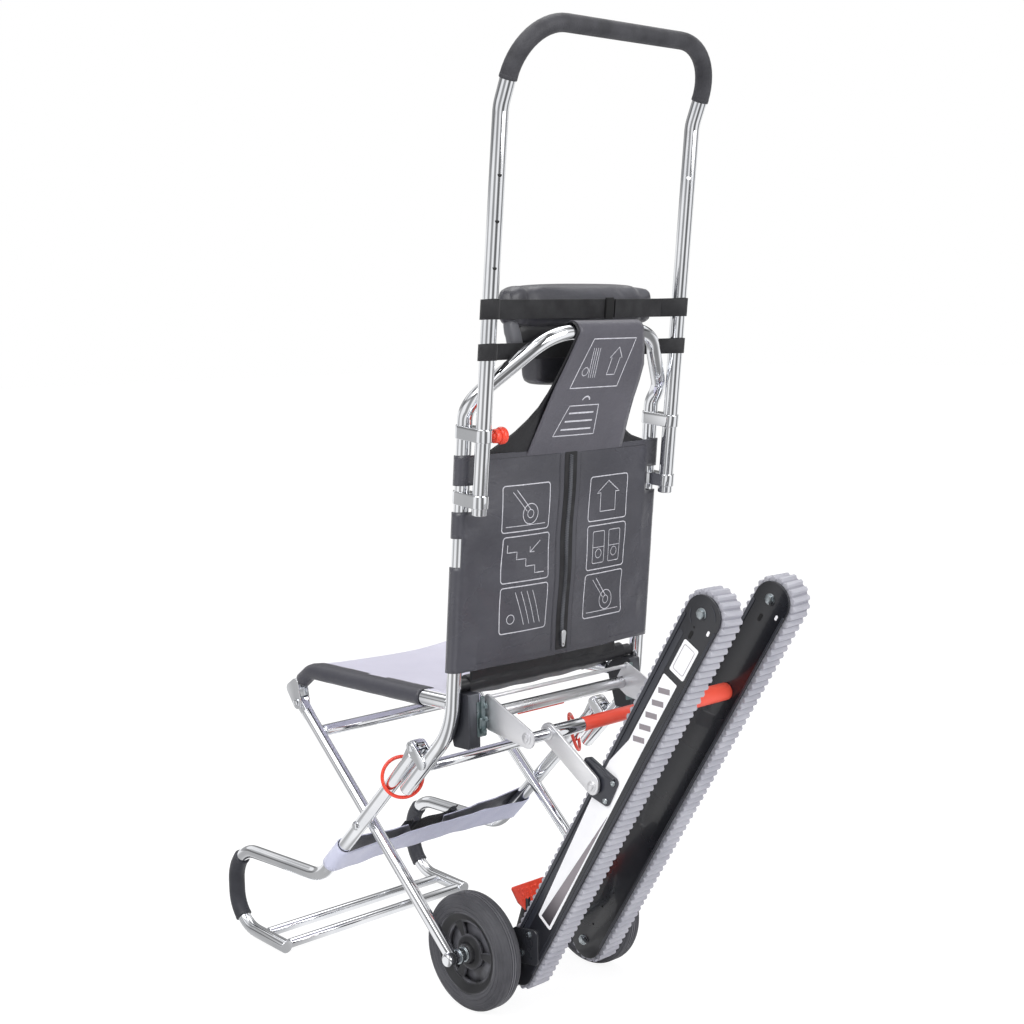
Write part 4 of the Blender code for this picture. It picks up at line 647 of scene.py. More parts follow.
def picture(kind, x0, x1, z0, z1, place):
    """Ribbons of one plain sketch inside a panel: the lines are listed as (points, closed, width)."""
    w, h = x1 - x0, z1 - z0
    at = lambda u, v: (x0 + u * w, z0 + v * h)
    run = lambda *spots: dense(*(at(*spot) for spot in spots))
    if kind == "wheel":
        hub = at(0.42, 0.36)
        lines = [(ring_line(*hub, 0.22 * h), True, 1.2), (ring_line(*hub, 0.09 * h), True, 1.0),
                 (run((0.08, 0.12), (0.92, 0.12)), False, 1.0), (run((0.42, 0.45), (0.72, 0.9)), False, 1.2),
                 (run((0.5, 0.42), (0.8, 0.86)), False, 1.0)]
    elif kind == "steps":
        treads = [(0.1 + 0.2 * (k // 2 + k % 2), 0.15 + 0.17 * (k // 2)) for k in range(9)]
        lines = [(run(*treads), False, 1.2), (run((0.2, 0.85), (0.42, 0.62)), False, 1.2),
                 (run((0.32, 0.62), (0.42, 0.62), (0.42, 0.74)), False, 1.2)]
    elif kind == "arrow":
        tip = [(0.3, 0.2), (0.3, 0.62), (0.2, 0.62), (0.5, 0.88), (0.8, 0.62), (0.7, 0.62), (0.7, 0.2)]
        lines = [(dense(*(at(*spot) for spot in tip), closed=True), True, 1.2)]
    elif kind == "bars":
        lines = [(run((0.14 + 0.12 * k, 0.14), (0.34 + 0.12 * k, 0.88)), False, 1.0) for k in range(4)]
        lines.append((ring_line(*at(0.78, 0.3), 0.1 * h), True, 1.1))
    else:
        lines = []
        for u in (0.14, 0.56):
            (a, b), (c, d) = at(u, 0.14), at(u + 0.3, 0.86)
            lines += [(frame_line(a, c, b, d, 3.0, 36), True, 1.0),
                      (dense((a, (b + d) / 2), (c, (b + d) / 2)), False, 0.9),
                      (ring_line((a + c) / 2, b + 0.3 * (d - b), 0.1 * h), True, 0.9)]
    return [ribbon(line, width, place, closed) for line, closed, width in lines]


prints = []
for kind, x0, x1, z0 in (("wheel", 40, 132, 733), ("steps", 36, 128, 658), ("bars", 36, 128, 583),
                         ("arrow", -132, -44, 733), ("pair", -132, -44, 658), ("wheel", -132, -44, 583)):
    box = (x0, x1, z0, z0 + 68)
    prints += [ribbon(frame_line(*box), 1.5, on_cover(0.3), True)] + picture(kind, *box, on_cover(0.3))
make("cover_prints", prints, INK, "back_frame")

# %% [markdown]
# ## Yoke and tongue
# Over the hoop goes a black layer whose curved sides follow a short table of widths. A grey tongue
# lies on its rear face, slips under the cover's top hem and wraps the hoop. Both are grids along one
# line: straight up, then half a turn round the tube.

# %% Yoke and tongue
TUCK_Z, HOOP_WRAP = 836.0, 14.2
YOKE_EDGES = (([836, 848, 857, 863.6, 871.5, 879.4, 895.7, 913.4, 933, 950, 970, 1018],
               [172, 167, 158.8, 147, 135, 123.5, 105.5, 91, 82, 77, 73, 66]),
              ([836, 847, 853, 859, 866.6, 875, 890, 931, 1018], [-176, -172, -158, -134, -117, -108, -100, -84, -69]))
TONGUE_EDGES = (([836, 847, 931, 975, 1022], [92, 90, 77, 69, 62]),
                ([836, 855, 890, 920, 945, 969, 995, 1022], [-112, -110, -105, -101, -99.5, -97, -84, -68]))


def rising(x, z, y0, lift):
    """Depth at height z: y0 + (hoop - y0) s^1.06 + a low fold, s going from 0 to 1 up the yoke."""
    climb = np.clip((z - TUCK_Z) / (HOOP_TOP[1] - TUCK_Z), 0, 1)
    fold = 0.9 * np.sin(x / 19 + z / 37) * np.sin(z / 29 + 0.8) * np.sin(math.pi * climb)
    return y0 + (HOOP_TOP[0] + HOOP_WRAP + lift - y0) * climb ** 1.06 + fold


def yoke_grid(edges, lift):
    """Point (share, z): straight from the cover to the hoop's rear, then round the hoop."""
    z = np.linspace(TUCK_Z, HOOP_TOP[1], 46)[:, None]
    left, right = (np.interp(z, *edge) for edge in edges)
    x = left + (right - left) * np.linspace(0, 1, 25)[None]
    turn, radius = np.linspace(0, 1.08 * math.pi, 22)[1:, None], HOOP_WRAP + lift
    return np.concatenate([front(x, z, rising(x, z, cover_y(x[:1], TUCK_Z) - 3.2 + lift, lift)),
                           front(x[-1:], HOOP_TOP[1] + radius * np.sin(turn), HOOP_TOP[0] + radius * np.cos(turn))])


yoke = make("yoke_layer", shell(yoke_grid(YOKE_EDGES, 0.0)), LINING, "back_frame", "back_yoke", "vinyl", wall=1.5)
tongue = make("yoke_tongue", shell(yoke_grid(TONGUE_EDGES, 1.9)), TONGUE, "back_frame", slot="vinyl", wall=1.4)


def on_tongue(x, z):
    """Place (x, z) on the tongue's rear face."""
    x, z = np.broadcast_arrays(np.asarray(x, float), np.asarray(z, float))
    y0 = cover_y(0 * x, TUCK_Z) - 8 * (x / FRAME_HALF) ** 2 + slack(x, TUCK_Z) - 1.3
    return front(x, z, rising(x, z, y0, 1.9) + 1.2)


label = [ribbon(dense(*corners, closed=True), width, on_tongue, True)
         for corners, width in ((((-58, 1008), (30, 1008), (46, 938), (-52, 938)), 1.5),
                                (((-26, 912), (34, 912), (48, 868), (-34, 868)), 1.4))]
label += picture("arrow", -50, -8, 944, 1002, on_tongue) + picture("bars", -2, 34, 944, 1002, on_tongue)
label.append(ribbon(ring_line(4, 917, 8)[2:17], 2.2, on_tongue))
label += [ribbon(dense((-20 - 2 * k, 901 - 12 * k), (30 + 3 * k, 901 - 12 * k)), 2.4, on_tongue) for k in range(3)]
make("tongue_prints", label, INK, "back_frame")

# %% [markdown]
# ## Webbing straps
# A strap is a flat band: a section of eight points carried along a line. Its width direction is
# given, and its thickness direction is the cross product of tangent and width.

# %% Bands of webbing
def band(line, across, width, thick=1.8, edge=0.5):
    """Section (u, v) at each point: p + u across + v (tangent x across), u and v round a flat box."""
    line = np.asarray(line, float)
    across = unit(np.broadcast_to(np.asarray(across, float), line.shape))
    normal = unit(np.cross(unit(np.gradient(line, axis=0)), across))
    w, t = width / 2, thick / 2
    u = np.array([-w, -w + edge, w - edge, w, w, w - edge, -w + edge, -w])
    v = np.array([t - edge, t, t, t - edge, edge - t, -t, -t, edge - t])
    section = u[:, None] * across[:, None] + v[:, None] * normal[:, None]
    return shell(line[:, None] + section, close_cols=True, caps=True)


def strap_loop(low, high):
    """Closed band round the left handle tube, drawn in to the neck in front of it."""
    middle = (low + high) / 2
    eye = ((HANDLE_HALF, float(handle_y(middle))), 13.6)
    neck = ((HANDLE_HALF - 27, float(handle_y(middle)) - 13.1), 1.65)
    outline = pulled([eye, neck], 64, np.array([0.0, 0.0, 0.25, 1.35, 1.6, 1.6, 1.35, 0.25]))
    z = np.array([low + 0.4, high - 0.4, high, high, high - 0.4, low + 0.4, low, low])[:, None]
    return shell(front(outline[..., 0], z, outline[..., 1] + HANDLE_LEAN * (z - middle)), True, True)


def strap(name, low, high, overlap=None):
    """Two loops and the band between them, with a second layer from the keeper to the far loop."""
    middle, reach, rise = (low + high) / 2, HANDLE_HALF - 28, (0, HANDLE_LEAN, 1)
    x = np.linspace(reach, -reach, 60)
    line = front(x, middle, handle_y(middle) - 13.1 + 0.35 * np.sin(x / 23))
    loop = [strap_loop(low, high)]
    parts = [band(line, rise, high - low, 2.2)] + loop + flipped(loop)
    if overlap is not None:
        parts.append(band(line[line[:, 0] < overlap] + [0, 2.2, 0], rise, high - low - 0.6))
    make(f"{name}_strap", parts, WEBBING, "headrest", f"strap_{name}", "webbing")


strap("upper", 1038, 1065.5, -62)
strap("lower", 982, 1005)
keeper = band(front(np.linspace(-45, -60, 4), 1051.8, handle_y(1051.8) - 10.2), (0, HANDLE_LEAN, 1), 31.5, 3.0, 0.9)
make("strap_keeper", keeper, DARK_AND_HOLE_SHADE, "headrest")

# %% [markdown]
# ## Head and neck pads
# A pad starts as a superellipsoid, a box whose edges and corners are rounded by one exponent:
# x = A sgn(cos) |cos|^e and so on. It is remeshed into even small faces, blown up a little by the
# cloth simulation, capped, and smoothed. That gives the plump faces and tight corners of a sewn pad.

# %% Padded shapes
def rounded_box(centre, half, e=0.32, rows=28, cols=56):
    """Superellipsoid: (A C(v) C(u), B C(v) S(u), H S(v)), C and S being signed powers e."""
    power = lambda t: np.sign(t) * np.abs(t) ** e
    v, u = np.linspace(-math.pi / 2, math.pi / 2, rows)[:, None], around(cols)[None]
    way = np.broadcast_arrays(power(np.cos(v)) * power(np.cos(u)), power(np.cos(v)) * power(np.sin(u)),
                              power(np.sin(v)))
    return np.asarray(centre, float) + np.stack(way, -1) * half


def applied(piece):
    """The mesh that a piece's modifiers make of it."""
    return bpy.data.meshes.new_from_object(piece.evaluated_get(bpy.context.evaluated_depsgraph_get()))


def swell(pad, cap, pressure=4.0, frames=20):
    """Run Cloth with inner pressure and no gravity, then cap each point's way at so many millimetres."""
    start = np.empty(len(pad.data.vertices) * 3)
    pad.data.vertices.foreach_get("co", start)
    cloth = pad.modifiers.new("cloth", "CLOTH")
    settings = cloth.settings
    settings.use_pressure, settings.uniform_pressure_force = True, pressure
    settings.effector_weights.gravity = 0.0
    settings.quality, settings.mass = 5, 0.3
    settings.tension_stiffness = settings.compression_stiffness = 25.0
    settings.bending_stiffness = 1.5
    cloth.point_cache.frame_start, cloth.point_cache.frame_end = 1, frames
    for step in range(1, frames + 1):
        bpy.context.scene.frame_set(step)
    end = np.empty_like(start)
    applied(pad).vertices.foreach_get("co", end)
    way = (end - start).reshape(-1, 3)
    length = np.linalg.norm(way, axis=1, keepdims=True)
    way *= np.minimum(1.0, cap * MM / np.maximum(length, 1e-9))
    pad.modifiers.clear()
    pad.data.vertices.foreach_set("co", (start.reshape(-1, 3) + way).ravel())
    pad.data.update()
    bpy.context.scene.frame_set(1)
    print(pad.name, "swelled by", round(float(length.max()) / MM, 1), "mm at most")


def padded(name, points, finish, stands_for="", cap=7.0, voxel=4.5):
    """Remesh a closed shell, swell it, and finish it with a light smooth and one subdivision."""
    pad = make(name, shell(points, close_cols=True), finish, "headrest", stands_for, "vinyl", weld=True)
    remesh = pad.modifiers.new("remesh", "REMESH")
    remesh.mode, remesh.voxel_size, remesh.use_smooth_shade = "VOXEL", voxel * MM, True
    even = applied(pad)
    pad.modifiers.clear()
    pad.data = even
    swell(pad, cap)
    smooth = pad.modifiers.new("smooth", "SMOOTH")
    smooth.factor, smooth.iterations = 0.5, 3
    fine = pad.modifiers.new("fine", "SUBSURF")
    fine.levels = fine.render_levels = 1
    pad.data.shade_smooth()


def creased(points, x_at, depth, width):
    """Points drawn in towards the pad's middle near x_at: depth exp(-((x - x_at) / width)^2)."""
    middle = points.reshape(-1, 3).mean(0)
    pull = depth * np.exp(-((points[..., 0] - x_at) / width) ** 2)[..., None]
    away = unit(np.where(np.abs(points - middle) > 1e-6, points - middle, 1e-6) * [0, 1, 1])
    return points - away * pull


def tapered(points):
    """Narrower towards the sitter: x times 1 - 0.35 (118 - y) / 56."""
    return points * np.stack([1 - 0.35 * (118 - points[..., 1]) / 56, *np.ones((2,) + points.shape[:2])], -1)


main_pad = tapered(rounded_box((-9, 91, 1056), (169, 27, 30), 0.3))
for crease in ((128, 5.0, 3.5), (97, 3.5, 4.0), (-135, 2.5, 4.0)):
    main_pad = creased(main_pad, *crease)
ruffle = np.sin(main_pad[..., 0] / 11) * np.sin(main_pad[..., 2] / 9 + main_pad[..., 0] / 23)
padded("head_pad", main_pad + ruffle[..., None] * [0, 1.3, 0.9], PAD, "headrest_pad")
# The wing's lighter finish is a painted highlight standing for the vinyl's sheen.
wing = rounded_box((121, 108, 1010), (13, 8, 32), 0.42)
padded("head_pad_wing", wing + 0.27 * (wing[..., 2:] - 1010) * [1, 0, 0], WING_PAINTED_SHEEN, cap=2.0)
padded("head_pad_under", tapered(rounded_box((16, 88, 1016), (112, 22, 19), 0.35)), LINING, cap=3.0)
padded("neck_roll", rounded_box((0, 83, 969.5), (70, 24, 27), 0.38), PAD, "neck_pad", cap=5.0)

# %% [markdown]
# ## Seat
# The side tubes are bent down at the front into two-plate brackets, where the legs hinge. Their rear
# ends are flattened into tongues for the hinge blocks.

# %% Seat tubes
SEAT_HALF = 170.9
rail = [tube(rounded([(SEAT_HALF, 7.0, 480.07), (SEAT_HALF, -330, 482), (SEAT_HALF, -376, 449)], [32])),
        plate([(SEAT_PIVOT, 10), ((-5, 480.1), 7)], 166.7, 178.7), bar(163, 185, LEG_TOP, 4)]
rail += [plate([(LEG_TOP, 11), ((-362, 457), 10), ((-376, 449), 9)], x, x + 2.6) for x in (164.5, 180.9)]
rail += hex_head((183.5, *LEG_TOP), 5.5, 3.2, 6.6) + hex_head((164.5, *LEG_TOP), 5.5, 3.6, 6.6, (-1, 0, 0))
pair("seat_rail", rail, CHROME, "seat", "seat_tube_{}", "chrome")

# %% [markdown]
# The seat is pale fabric with dark vinyl sleeves along the tubes. The sleeves go round the outside
# of each tube and stop short of the hinge, so bare chrome shows there. The pale middle sags:
# height = wrap - 9 (1 - (x / half)^2).

# %% Seat cover
seat_run = rounded([(0, -3, 480), (0, -330, 482), (0, -376, 449)], [32], 10)
seat_run = np.vstack([seat_run[0] + (seat_run[1] - seat_run[0]) * np.linspace(0, 1, 40)[:-1, None], seat_run[1:-1],
                      seat_run[-2] + (seat_run[-1] - seat_run[-2]) * np.linspace(0.1, 0.42, 4)[:, None]])
run_dir = unit(np.gradient(seat_run, axis=0))
run_rise = np.stack([0 * run_dir[:, 0], run_dir[:, 2], -run_dir[:, 1]], 1)
along_run = np.r_[0, np.cumsum(np.linalg.norm(np.diff(seat_run, axis=0), axis=1))][:, None]


def seat_sheet(x, rise, start=0):
    """Grid along the seat: across at x, and rise above the line of the tubes."""
    return seat_run[start:, None] + x[:, None] * [1, 0, 0] + run_rise[start:, None] * rise[..., None]


def sagging(x, top):
    return top - 9 * (1 - (x / SEAT_HALF) ** 2)


x = np.linspace(166, -166, 45)
ripple = (0.8 * np.sin(x / 37) * np.sin(along_run / 41)
          + 0.6 * np.sin((x + along_run) / 23) * np.exp(-((np.abs(x) - 150) / 30) ** 2))
seat_top = make("seat_middle", shell(seat_sheet(x, sagging(x, 12.2) + ripple * (np.abs(x) < 160))), SEAT_TOP, "seat",
                "seat_cover", "seat_fabric", wall=1.0)
start = int(np.argmax(seat_run[:, 1] < -50))
turn, inner_x = np.radians(np.arange(-200, 91, 10.0)), np.array([166.0, 161, 156, 151.5])
x = np.r_[SEAT_HALF + 12.2 * np.cos(turn), inner_x]
rise = np.r_[12.2 * np.sin(turn), sagging(inner_x, 13.2)] + 0.12 * np.sin(along_run[start:] / 9 + x / 6)
sleeves = pair("seat_sleeve", shell(seat_sheet(x, rise, start)), SEAT_SIDE, "seat", "", "vinyl", wall=0.9)

# %% [markdown]
# Between the hinge blocks the back edge of the seat hangs on a bar inside a black hem. The hem is a
# long flat loop round the bar with cross wrinkles. One flap rises from it to the back cover, another
# runs forward to the seat.

# %% Rear hem and its bar
x, turn = np.linspace(165, -165, 70)[:, None], around(30)[None]
rise = np.sign(np.sin(turn)) * np.abs(np.sin(turn)) ** 0.7
pucker = 0.3 * np.sin(x / 5.3) * np.sin(x / 17 + 2) + 0.3 * np.sin(x / 9 + 3 * rise)
hem = front(x, 512.5 + (12.4 + pucker) * rise, 36.5 + (9.4 + 0.4 * pucker) * np.cos(turn) - 1.68 * rise)
make("seat_rear_hem", [shell(hem, close_cols=True, caps=True), bar(-183.7, 183.7, (37, 511.5), 9)],
     LINING, "back_frame", "seat_rear_bar", "webbing")
s = np.linspace(0, 1, 12)[None]
flap = front(x, 506 - 24 * s ** 0.8 + 3.5 * (x / 165) ** 2 + 0.7 * np.sin(x / 11 + 5 * s), 27 - 30 * s ** 1.1)
s = np.linspace(0, 1, 18)[None]
x = 165 - (312 - 10 * s) * np.linspace(0, 1, 70)[:, None]
upper_flap = front(x, 503 + 57 * s, 43 + 4 * s + 1.2 * np.sin(x / 27 + 3 * s) * np.sin(3 * s)
                   + 0.5 * np.sin(x / 9 + 6 * s))
for name, points, finish_of, width, held in (("seat_back_flap", upper_flap, LINING, 0.31, "hung"),
                                             ("seat_rear_flap", flap, SEAT_SIDE, 0.33, "stretched")):
    cloth = make(name, shell(points), finish_of, "back_frame", slot="vinyl", wall=1.2)

# %% [markdown]
# ## Legs, axle and wheels
# The legs are straight tubes with a flat top end and a short sleeve over the axle.

# %% Legs and axle
LEG_DIR = unit(AXLE - LEG_TOP)
shank = [(174.0, *(LEG_TOP + LEG_DIR * s)) for s in (20, 24, 150, 300, np.linalg.norm(AXLE - LEG_TOP))]
leg = [tube(shank, 9.5), plate([(LEG_TOP, 9), (LEG_TOP + 30 * LEG_DIR, 8)], 167.5, 180.5),
       spun([(164.3, 6), (164.3, 10.3), (186, 10.3), (188.4, 7.5), (188.6, 0.5)], (0, *AXLE), edge=1.2)]
pair("leg_pipe", leg, CHROME, "legs", "leg_{}", "chrome")
make("leg_bar", bar(-164.2, 164.2, LEG_TOP + 62 * LEG_DIR, 9.5), CHROME, "legs", "leg_crossbar", "chrome")
spindle = [(-164, 2), (-164, 12), (-159, 12), (-158.4, 9.6), (-152.6, 9.6), (-152, 12), (-150.5, 12), (-150.5, 8)]
spindle += [(-x, r) for x, r in spindle[::-1]]
make("axle_bar", spun(spindle, (0, *AXLE), edge=0.5), ZINC, "legs", "axle", "chrome")

# %% [markdown]
# Each wheel is a solid grey tyre on a plastic rim. Both are lathe work; the three long windows are
# cut by leaving faces out of a polar grid, which then gets its thickness from Solidify.

# %% Tyre and rim
WHEEL_X = 130.6
arc = np.radians(np.linspace(0, 90, 13))
arc_r = np.where(np.isin(np.arange(13), (4, 8)), 11.2, 12.0)
half_tyre = [(17.6, 63.3), (18.4, 64.6), (19.6, 66.2), (19.6, 69.2), (19.1, 69.7), (19.1, 70.7), (19.6, 71.2),
             (19.6, 75.6), (19.1, 76.2), (19.2, 77.2), *zip(7.6 + arc_r * np.cos(arc), 78 + arc_r * np.sin(arc)),
             (5.2, 90), (4.9, 88.9), (3.9, 88.9), (3.6, 90), (0.9, 90), (0.6, 88.9)]
tyre = np.vstack([half_tyre, np.array(half_tyre[::-1]) * [-1, 1]])
barrel = [(17, 62.8), (-17, 62.8), (-17, 60.5), (-8, 57), (1, 54), (3, 49), (9.6, 49), (11, 52), (13.4, 55),
          (15.4, 58.6), (17, 60.8)]
hub = [(-19.6, 8.4), (19.6, 8.4), (19.6, 14.6), (18.6, 15.6), (13, 17), (10.4, 20.6), (9.6, 26), (2.4, 26), (0, 20),
       (-12, 17), (-18.6, 15.6), (-19.6, 14.6)]
backing = [(-3, 18), (-3, 56), (-1, 56), (-1, 18)]
tyre, *rings = [spun(profile, (WHEEL_X, *AXLE), sides=96, closed=True) for profile in (tyre, barrel, hub, backing)]
rho, turns = np.array([24, 27, 29, 34, 40, 44, 46, 52.0])[:, None], np.arange(0, 360, 2.5)[None]
in_window = ((turns + 1.25 - 10) % 120 < 100) & (rho[:-1] >= 27) & (rho[:-1] < 46)
web = side(AXLE[0] + rho * np.cos(np.radians(turns)), AXLE[1] + rho * np.sin(np.radians(turns)),
           WHEEL_X + 6.2 - 1.2 * np.sin(math.pi * (rho - 24) / 28))
pair("tread", tyre, TYRE, "wheel_{}", "tyre_{}", "tyre_rubber")
pair("rim_rings", rings, RIM, "wheel_{}", "rim_{}", "black_plastic")
pair("rim_web", shell(web, close_cols=True, keep=~in_window), RIM, "wheel_{}", "", "black_plastic", wall=6.0)

# %% [markdown]
# ## Lower frame and footrest
# Two long tubes run down from the lug plates, turn forward, and come back as loops under the
# footrest. Black sleeves cover the loops.

# %% Lower tubes and bars
lower_path = rounded([(FRAME_HALF, *(LOWER_START + 14 * DOWN)), (FRAME_HALF, *(LOWER_START + 357.4 * DOWN)),
                      (198, -532, 155.2), (198, -532, 20.5), (198, -392, 11)], [60, 60, 60])
CROSSING = np.array([-183.5, 263.3])
lower = [tube(lower_path, edge=1.5), plate([(LOWER_PIVOT, 10), (LOWER_START + 30 * DOWN, 9)], 186.4, 203.6),
         bar(195, 208, CROSSING, 4.5)] + hex_head((205.4, *CROSSING), 6.2, 3.6, 7.2)
pair("lower_pipe", lower, CHROME, "footrest", "lower_tube_{}", "chrome")
pair("foot_sleeve", sleeve(lower_path, 20, 33, 13.6, 36, 1.5, 2.5, 13.9), SLEEVE, "footrest", "loop_sleeve_{}", "grip")
slope = (11 - 20.5) / (-392 + 532)
for name, y in (("front", -459), ("rear", -400)):
    make(f"foot_bar_{name}", bar(-186.7, 186.7, (y, 11 + slope * (y + 392)), 8), CHROME, "footrest",
         f"footrest_{name}_bar", "chrome")

# %% [markdown]
# The calf strap is a band behind the sitter's calves. Its ends go round the tubes and meet in front,
# where black webbing and a buckle join them. Outside it is pale; inside it is a darker copy of the same
# fabric, painted shade for the inner face that lies in shadow, so the sheet gets a second material on
# the side that Solidify adds.

# %% Calf strap
def calf_point(x, station, height):
    """Beside the lower tubes: along them from their pivot, and in front of their axis."""
    x, station, height = np.broadcast_arrays(np.asarray(x, float), station, height)
    spot = LOWER_START + station[..., None] * DOWN + height[..., None] * OUT
    return np.concatenate([x[..., None], spot], -1)


CALF_WRAP = 13.1
share, ten = np.linspace(0, 1, 10)[:, None], np.linspace(0, 1, 10)[None]
turn = np.radians(np.linspace(90, -90, 13))[None]
near_end, far_end = 61 - 40 * share, -14 - 25 * share
near_x = near_end + (FRAME_HALF - near_end) * ten[:, :-1]
far_x = -FRAME_HALF + (FRAME_HALF + far_end) * ten[:, 1:]
rear_x = np.linspace(FRAME_HALF, -FRAME_HALF, 34)[None, 1:-1] + 0 * share
round_x = FRAME_HALF + CALF_WRAP * np.cos(turn) + 0 * share
round_h = CALF_WRAP * np.sin(turn) + 0 * share
x = np.concatenate([near_x, round_x, rear_x, -round_x[:, ::-1], far_x], 1)
height = np.concatenate([CALF_WRAP + 0 * near_x, round_h, -CALF_WRAP + 0 * rear_x, round_h[:, ::-1],
                         CALF_WRAP + 0 * far_x], 1)
slackness = np.exp(-((np.abs(x) - 100) / 90) ** 2)
height = height + slackness * (1.0 * np.sin(x / 21 + 4 * share) + 0.7 * np.sin(x / 9 - 5 * share))
inward = np.clip(1 - (np.abs(x) / 182) ** 2, 0, 1) * (np.abs(x) < 182)
height = height - np.where(height > 0, 10.2, -4.6) * inward ** 0.7
height = height - 0.6 * np.sin(math.pi * share) * (np.abs(x) < 180)
# The second material, on the Solidify side, is the painted shade of the strap's inner face.
calf = make("calf_band", shell(calf_point(x, 266 + 54 * share, height)), [CALF_OUT, CALF_IN_PAINTED_SHADE],
            "footrest", "calf_strap", "calf_vinyl", wall=1.8)
calf.modifiers["wall"].material_offset = 1
probe = calf.data.polygons[16]
if probe.normal.x * np.sign(probe.center.x) < 0:
    calf.data.materials[0], calf.data.materials[1] = CALF_IN_PAINTED_SHADE, CALF_OUT

# %% [markdown]
# Two bands of webbing bridge the gap between the strap's ends, and a plastic buckle of three plates
# sits on them. Both are placed beside the lower tubes, like the strap.

# %% Buckle and webbing
FRONT_FACE = 4.6
straps = []
for first, last, count, station, width, lift in (
        (64, -52, 40, 284, 38, lambda x: 0.9 + 0.002 * (x - 10) ** 2),
        (34, -38, 24, 285, 34, lambda x: 4.2 + 0.8 * np.sin(x / 9))):
    x = np.linspace(first, last, count)
    straps.append(band(calf_point(x, station, FRONT_FACE + lift(x)), (0.0, *DOWN), width, 2.0))
make("calf_webbing", straps, WEBBING, "footrest", "calf_fastener", "webbing")
buckle = [plate(box_circles(*box, 3), FRONT_FACE + 1.0, FRONT_FACE + tall, 0.9, calf_point)
          for box, tall in (((36, 50, 262, 306), 7.4), ((-46, -34, 263, 305), 8.4), ((39, 47, 266, 302), 9.6))]
make("calf_buckle", buckle, BLACK_PLASTIC, "footrest", slot="black_plastic")

# %% [markdown]
# Red rings hang on the lower tubes as locks. A ring is a torus:
# centre + (R + r cos b)(cos a u + sin a v) + r sin b n.

# %% Lock rings
RING_AT = BACK_KNEE + (151 + 5.27) * DOWN + 23.05 * OUT
n = unit(np.array([0.611, 0.746, 0.265]))
u = unit(np.cross(n, [0, 0, 1.0]))
a, b = around(96)[:, None, None], around(16)[None, :, None]
out = np.cos(a) * u + np.sin(a) * np.cross(n, u)
ring = np.array([186.1, *RING_AT]) + out * (30.6 + 2.8 * np.cos(b)) + 2.8 * np.sin(b) * n
pair("red_ring", shell(ring, True, True), RED_PLASTIC, "ring_{}", "lock_ring_{}", "red_plastic")

# %% [markdown]
# ## Crawler tracks
# Each unit has two plates with a ribbed belt running between them. Its own axes are the station
# along the track and the offset behind its middle line.

# %% Track coordinates and the belt
RUN, BELT_R, RIBS = 680.0, 34, 126
TRACK_DIR = np.array([math.sin(math.radians(32.5)), math.cos(math.radians(32.5))])
TRACK_NORMAL = np.array([TRACK_DIR[1], -TRACK_DIR[0]])


def track(station, offset):
    """(y, z) = axle + station d + (60.8 + offset) n."""
    station, offset = np.broadcast_arrays(np.asarray(station, float), np.asarray(offset, float))
    return AXLE + station[..., None] * TRACK_DIR + (60.8 + offset[..., None]) * TRACK_NORMAL


def on_track(a, b, depth):
    """Place (station, offset) at a depth across the chair."""
    spot = track(a, b)
    return side(spot[..., 0], spot[..., 1], depth)


def belt_line(s, height):
    """Stadium by arc length s: two straights of 680 and two half circles of radius 34, at a height."""
    lap = math.pi * BELT_R
    angle = math.pi * (np.clip((s - RUN) / lap, 0, 1) + np.clip((s - 2 * RUN - lap) / lap, 0, 1))
    station = 17 + np.clip(s, 0, RUN) - np.clip(s - RUN - lap, 0, RUN) + height * np.sin(angle)
    return station, height * np.cos(angle)


belt_lap = 2 * RUN + 2 * math.pi * BELT_R
s = (np.arange(RIBS)[:, None] + np.array([0.0, 0.2, 0.5, 0.74])).reshape(-1, 1) * belt_lap / RIBS
tooth = np.tile([0.0, 1.0, 1.0, 0.0], RIBS)[:, None]
cross_x = np.array([[55.1, 55.1, 55.9, 90.1, 90.9, 90.9]])
cross_h = np.array([[28.8, 32.6, 33.1, 33.1, 32.6, 28.8]]) + tooth * [[0, 2.7, 3.4, 3.4, 2.7, 0]]
station, offset = belt_line((s + 0.05 * (cross_x - 73) * (cross_h > 29)) % belt_lap, cross_h)
belts = pair("crawler_belt", shell(on_track(station, offset, cross_x), True, True), [BELT, BELT_GROOVE_SHADE], "tracks",
             "belt_{}", "belt_rubber", sharp=30)
# Every fourth row of faces, the groove floor between two ribs, gets the darker finish: painted shade.
for crawler in belts:
    row = np.arange(len(crawler.data.polygons)) // 6
    crawler.data.polygons.foreach_set("material_index", (row % 4 == 3).astype(np.int32))

# %% [markdown]
# The plates are long stadiums with a raised lip. Fork, spacers and bolts hold the unit together. The
# fork's outline is the tight cord round its corners with a throat cut in: points inside the throat
# are dropped and an arc round the axle is put there.

# %% Track frames
LOW, HIGH = track(17, 0), track(697, 0)


def outlined(outline, low, high, edge=0.5):
    """Plate from any outline, with a fine bevel: rows of the outline at four depths."""
    ahead = unit(np.roll(outline, -1, 0) - np.roll(outline, 1, 0))
    inward = np.stack([-ahead[:, 1], ahead[:, 0]], 1)
    if ((outline.mean(0) - outline) * inward).sum() < 0:
        inward = -inward
    rows = np.stack([outline + inward * edge, outline, outline, outline + inward * edge])
    depth = np.array([low, low + edge, high - edge, high])[:, None]
    return shell(side(rows[..., 0], rows[..., 1], depth), close_cols=True, caps=True)


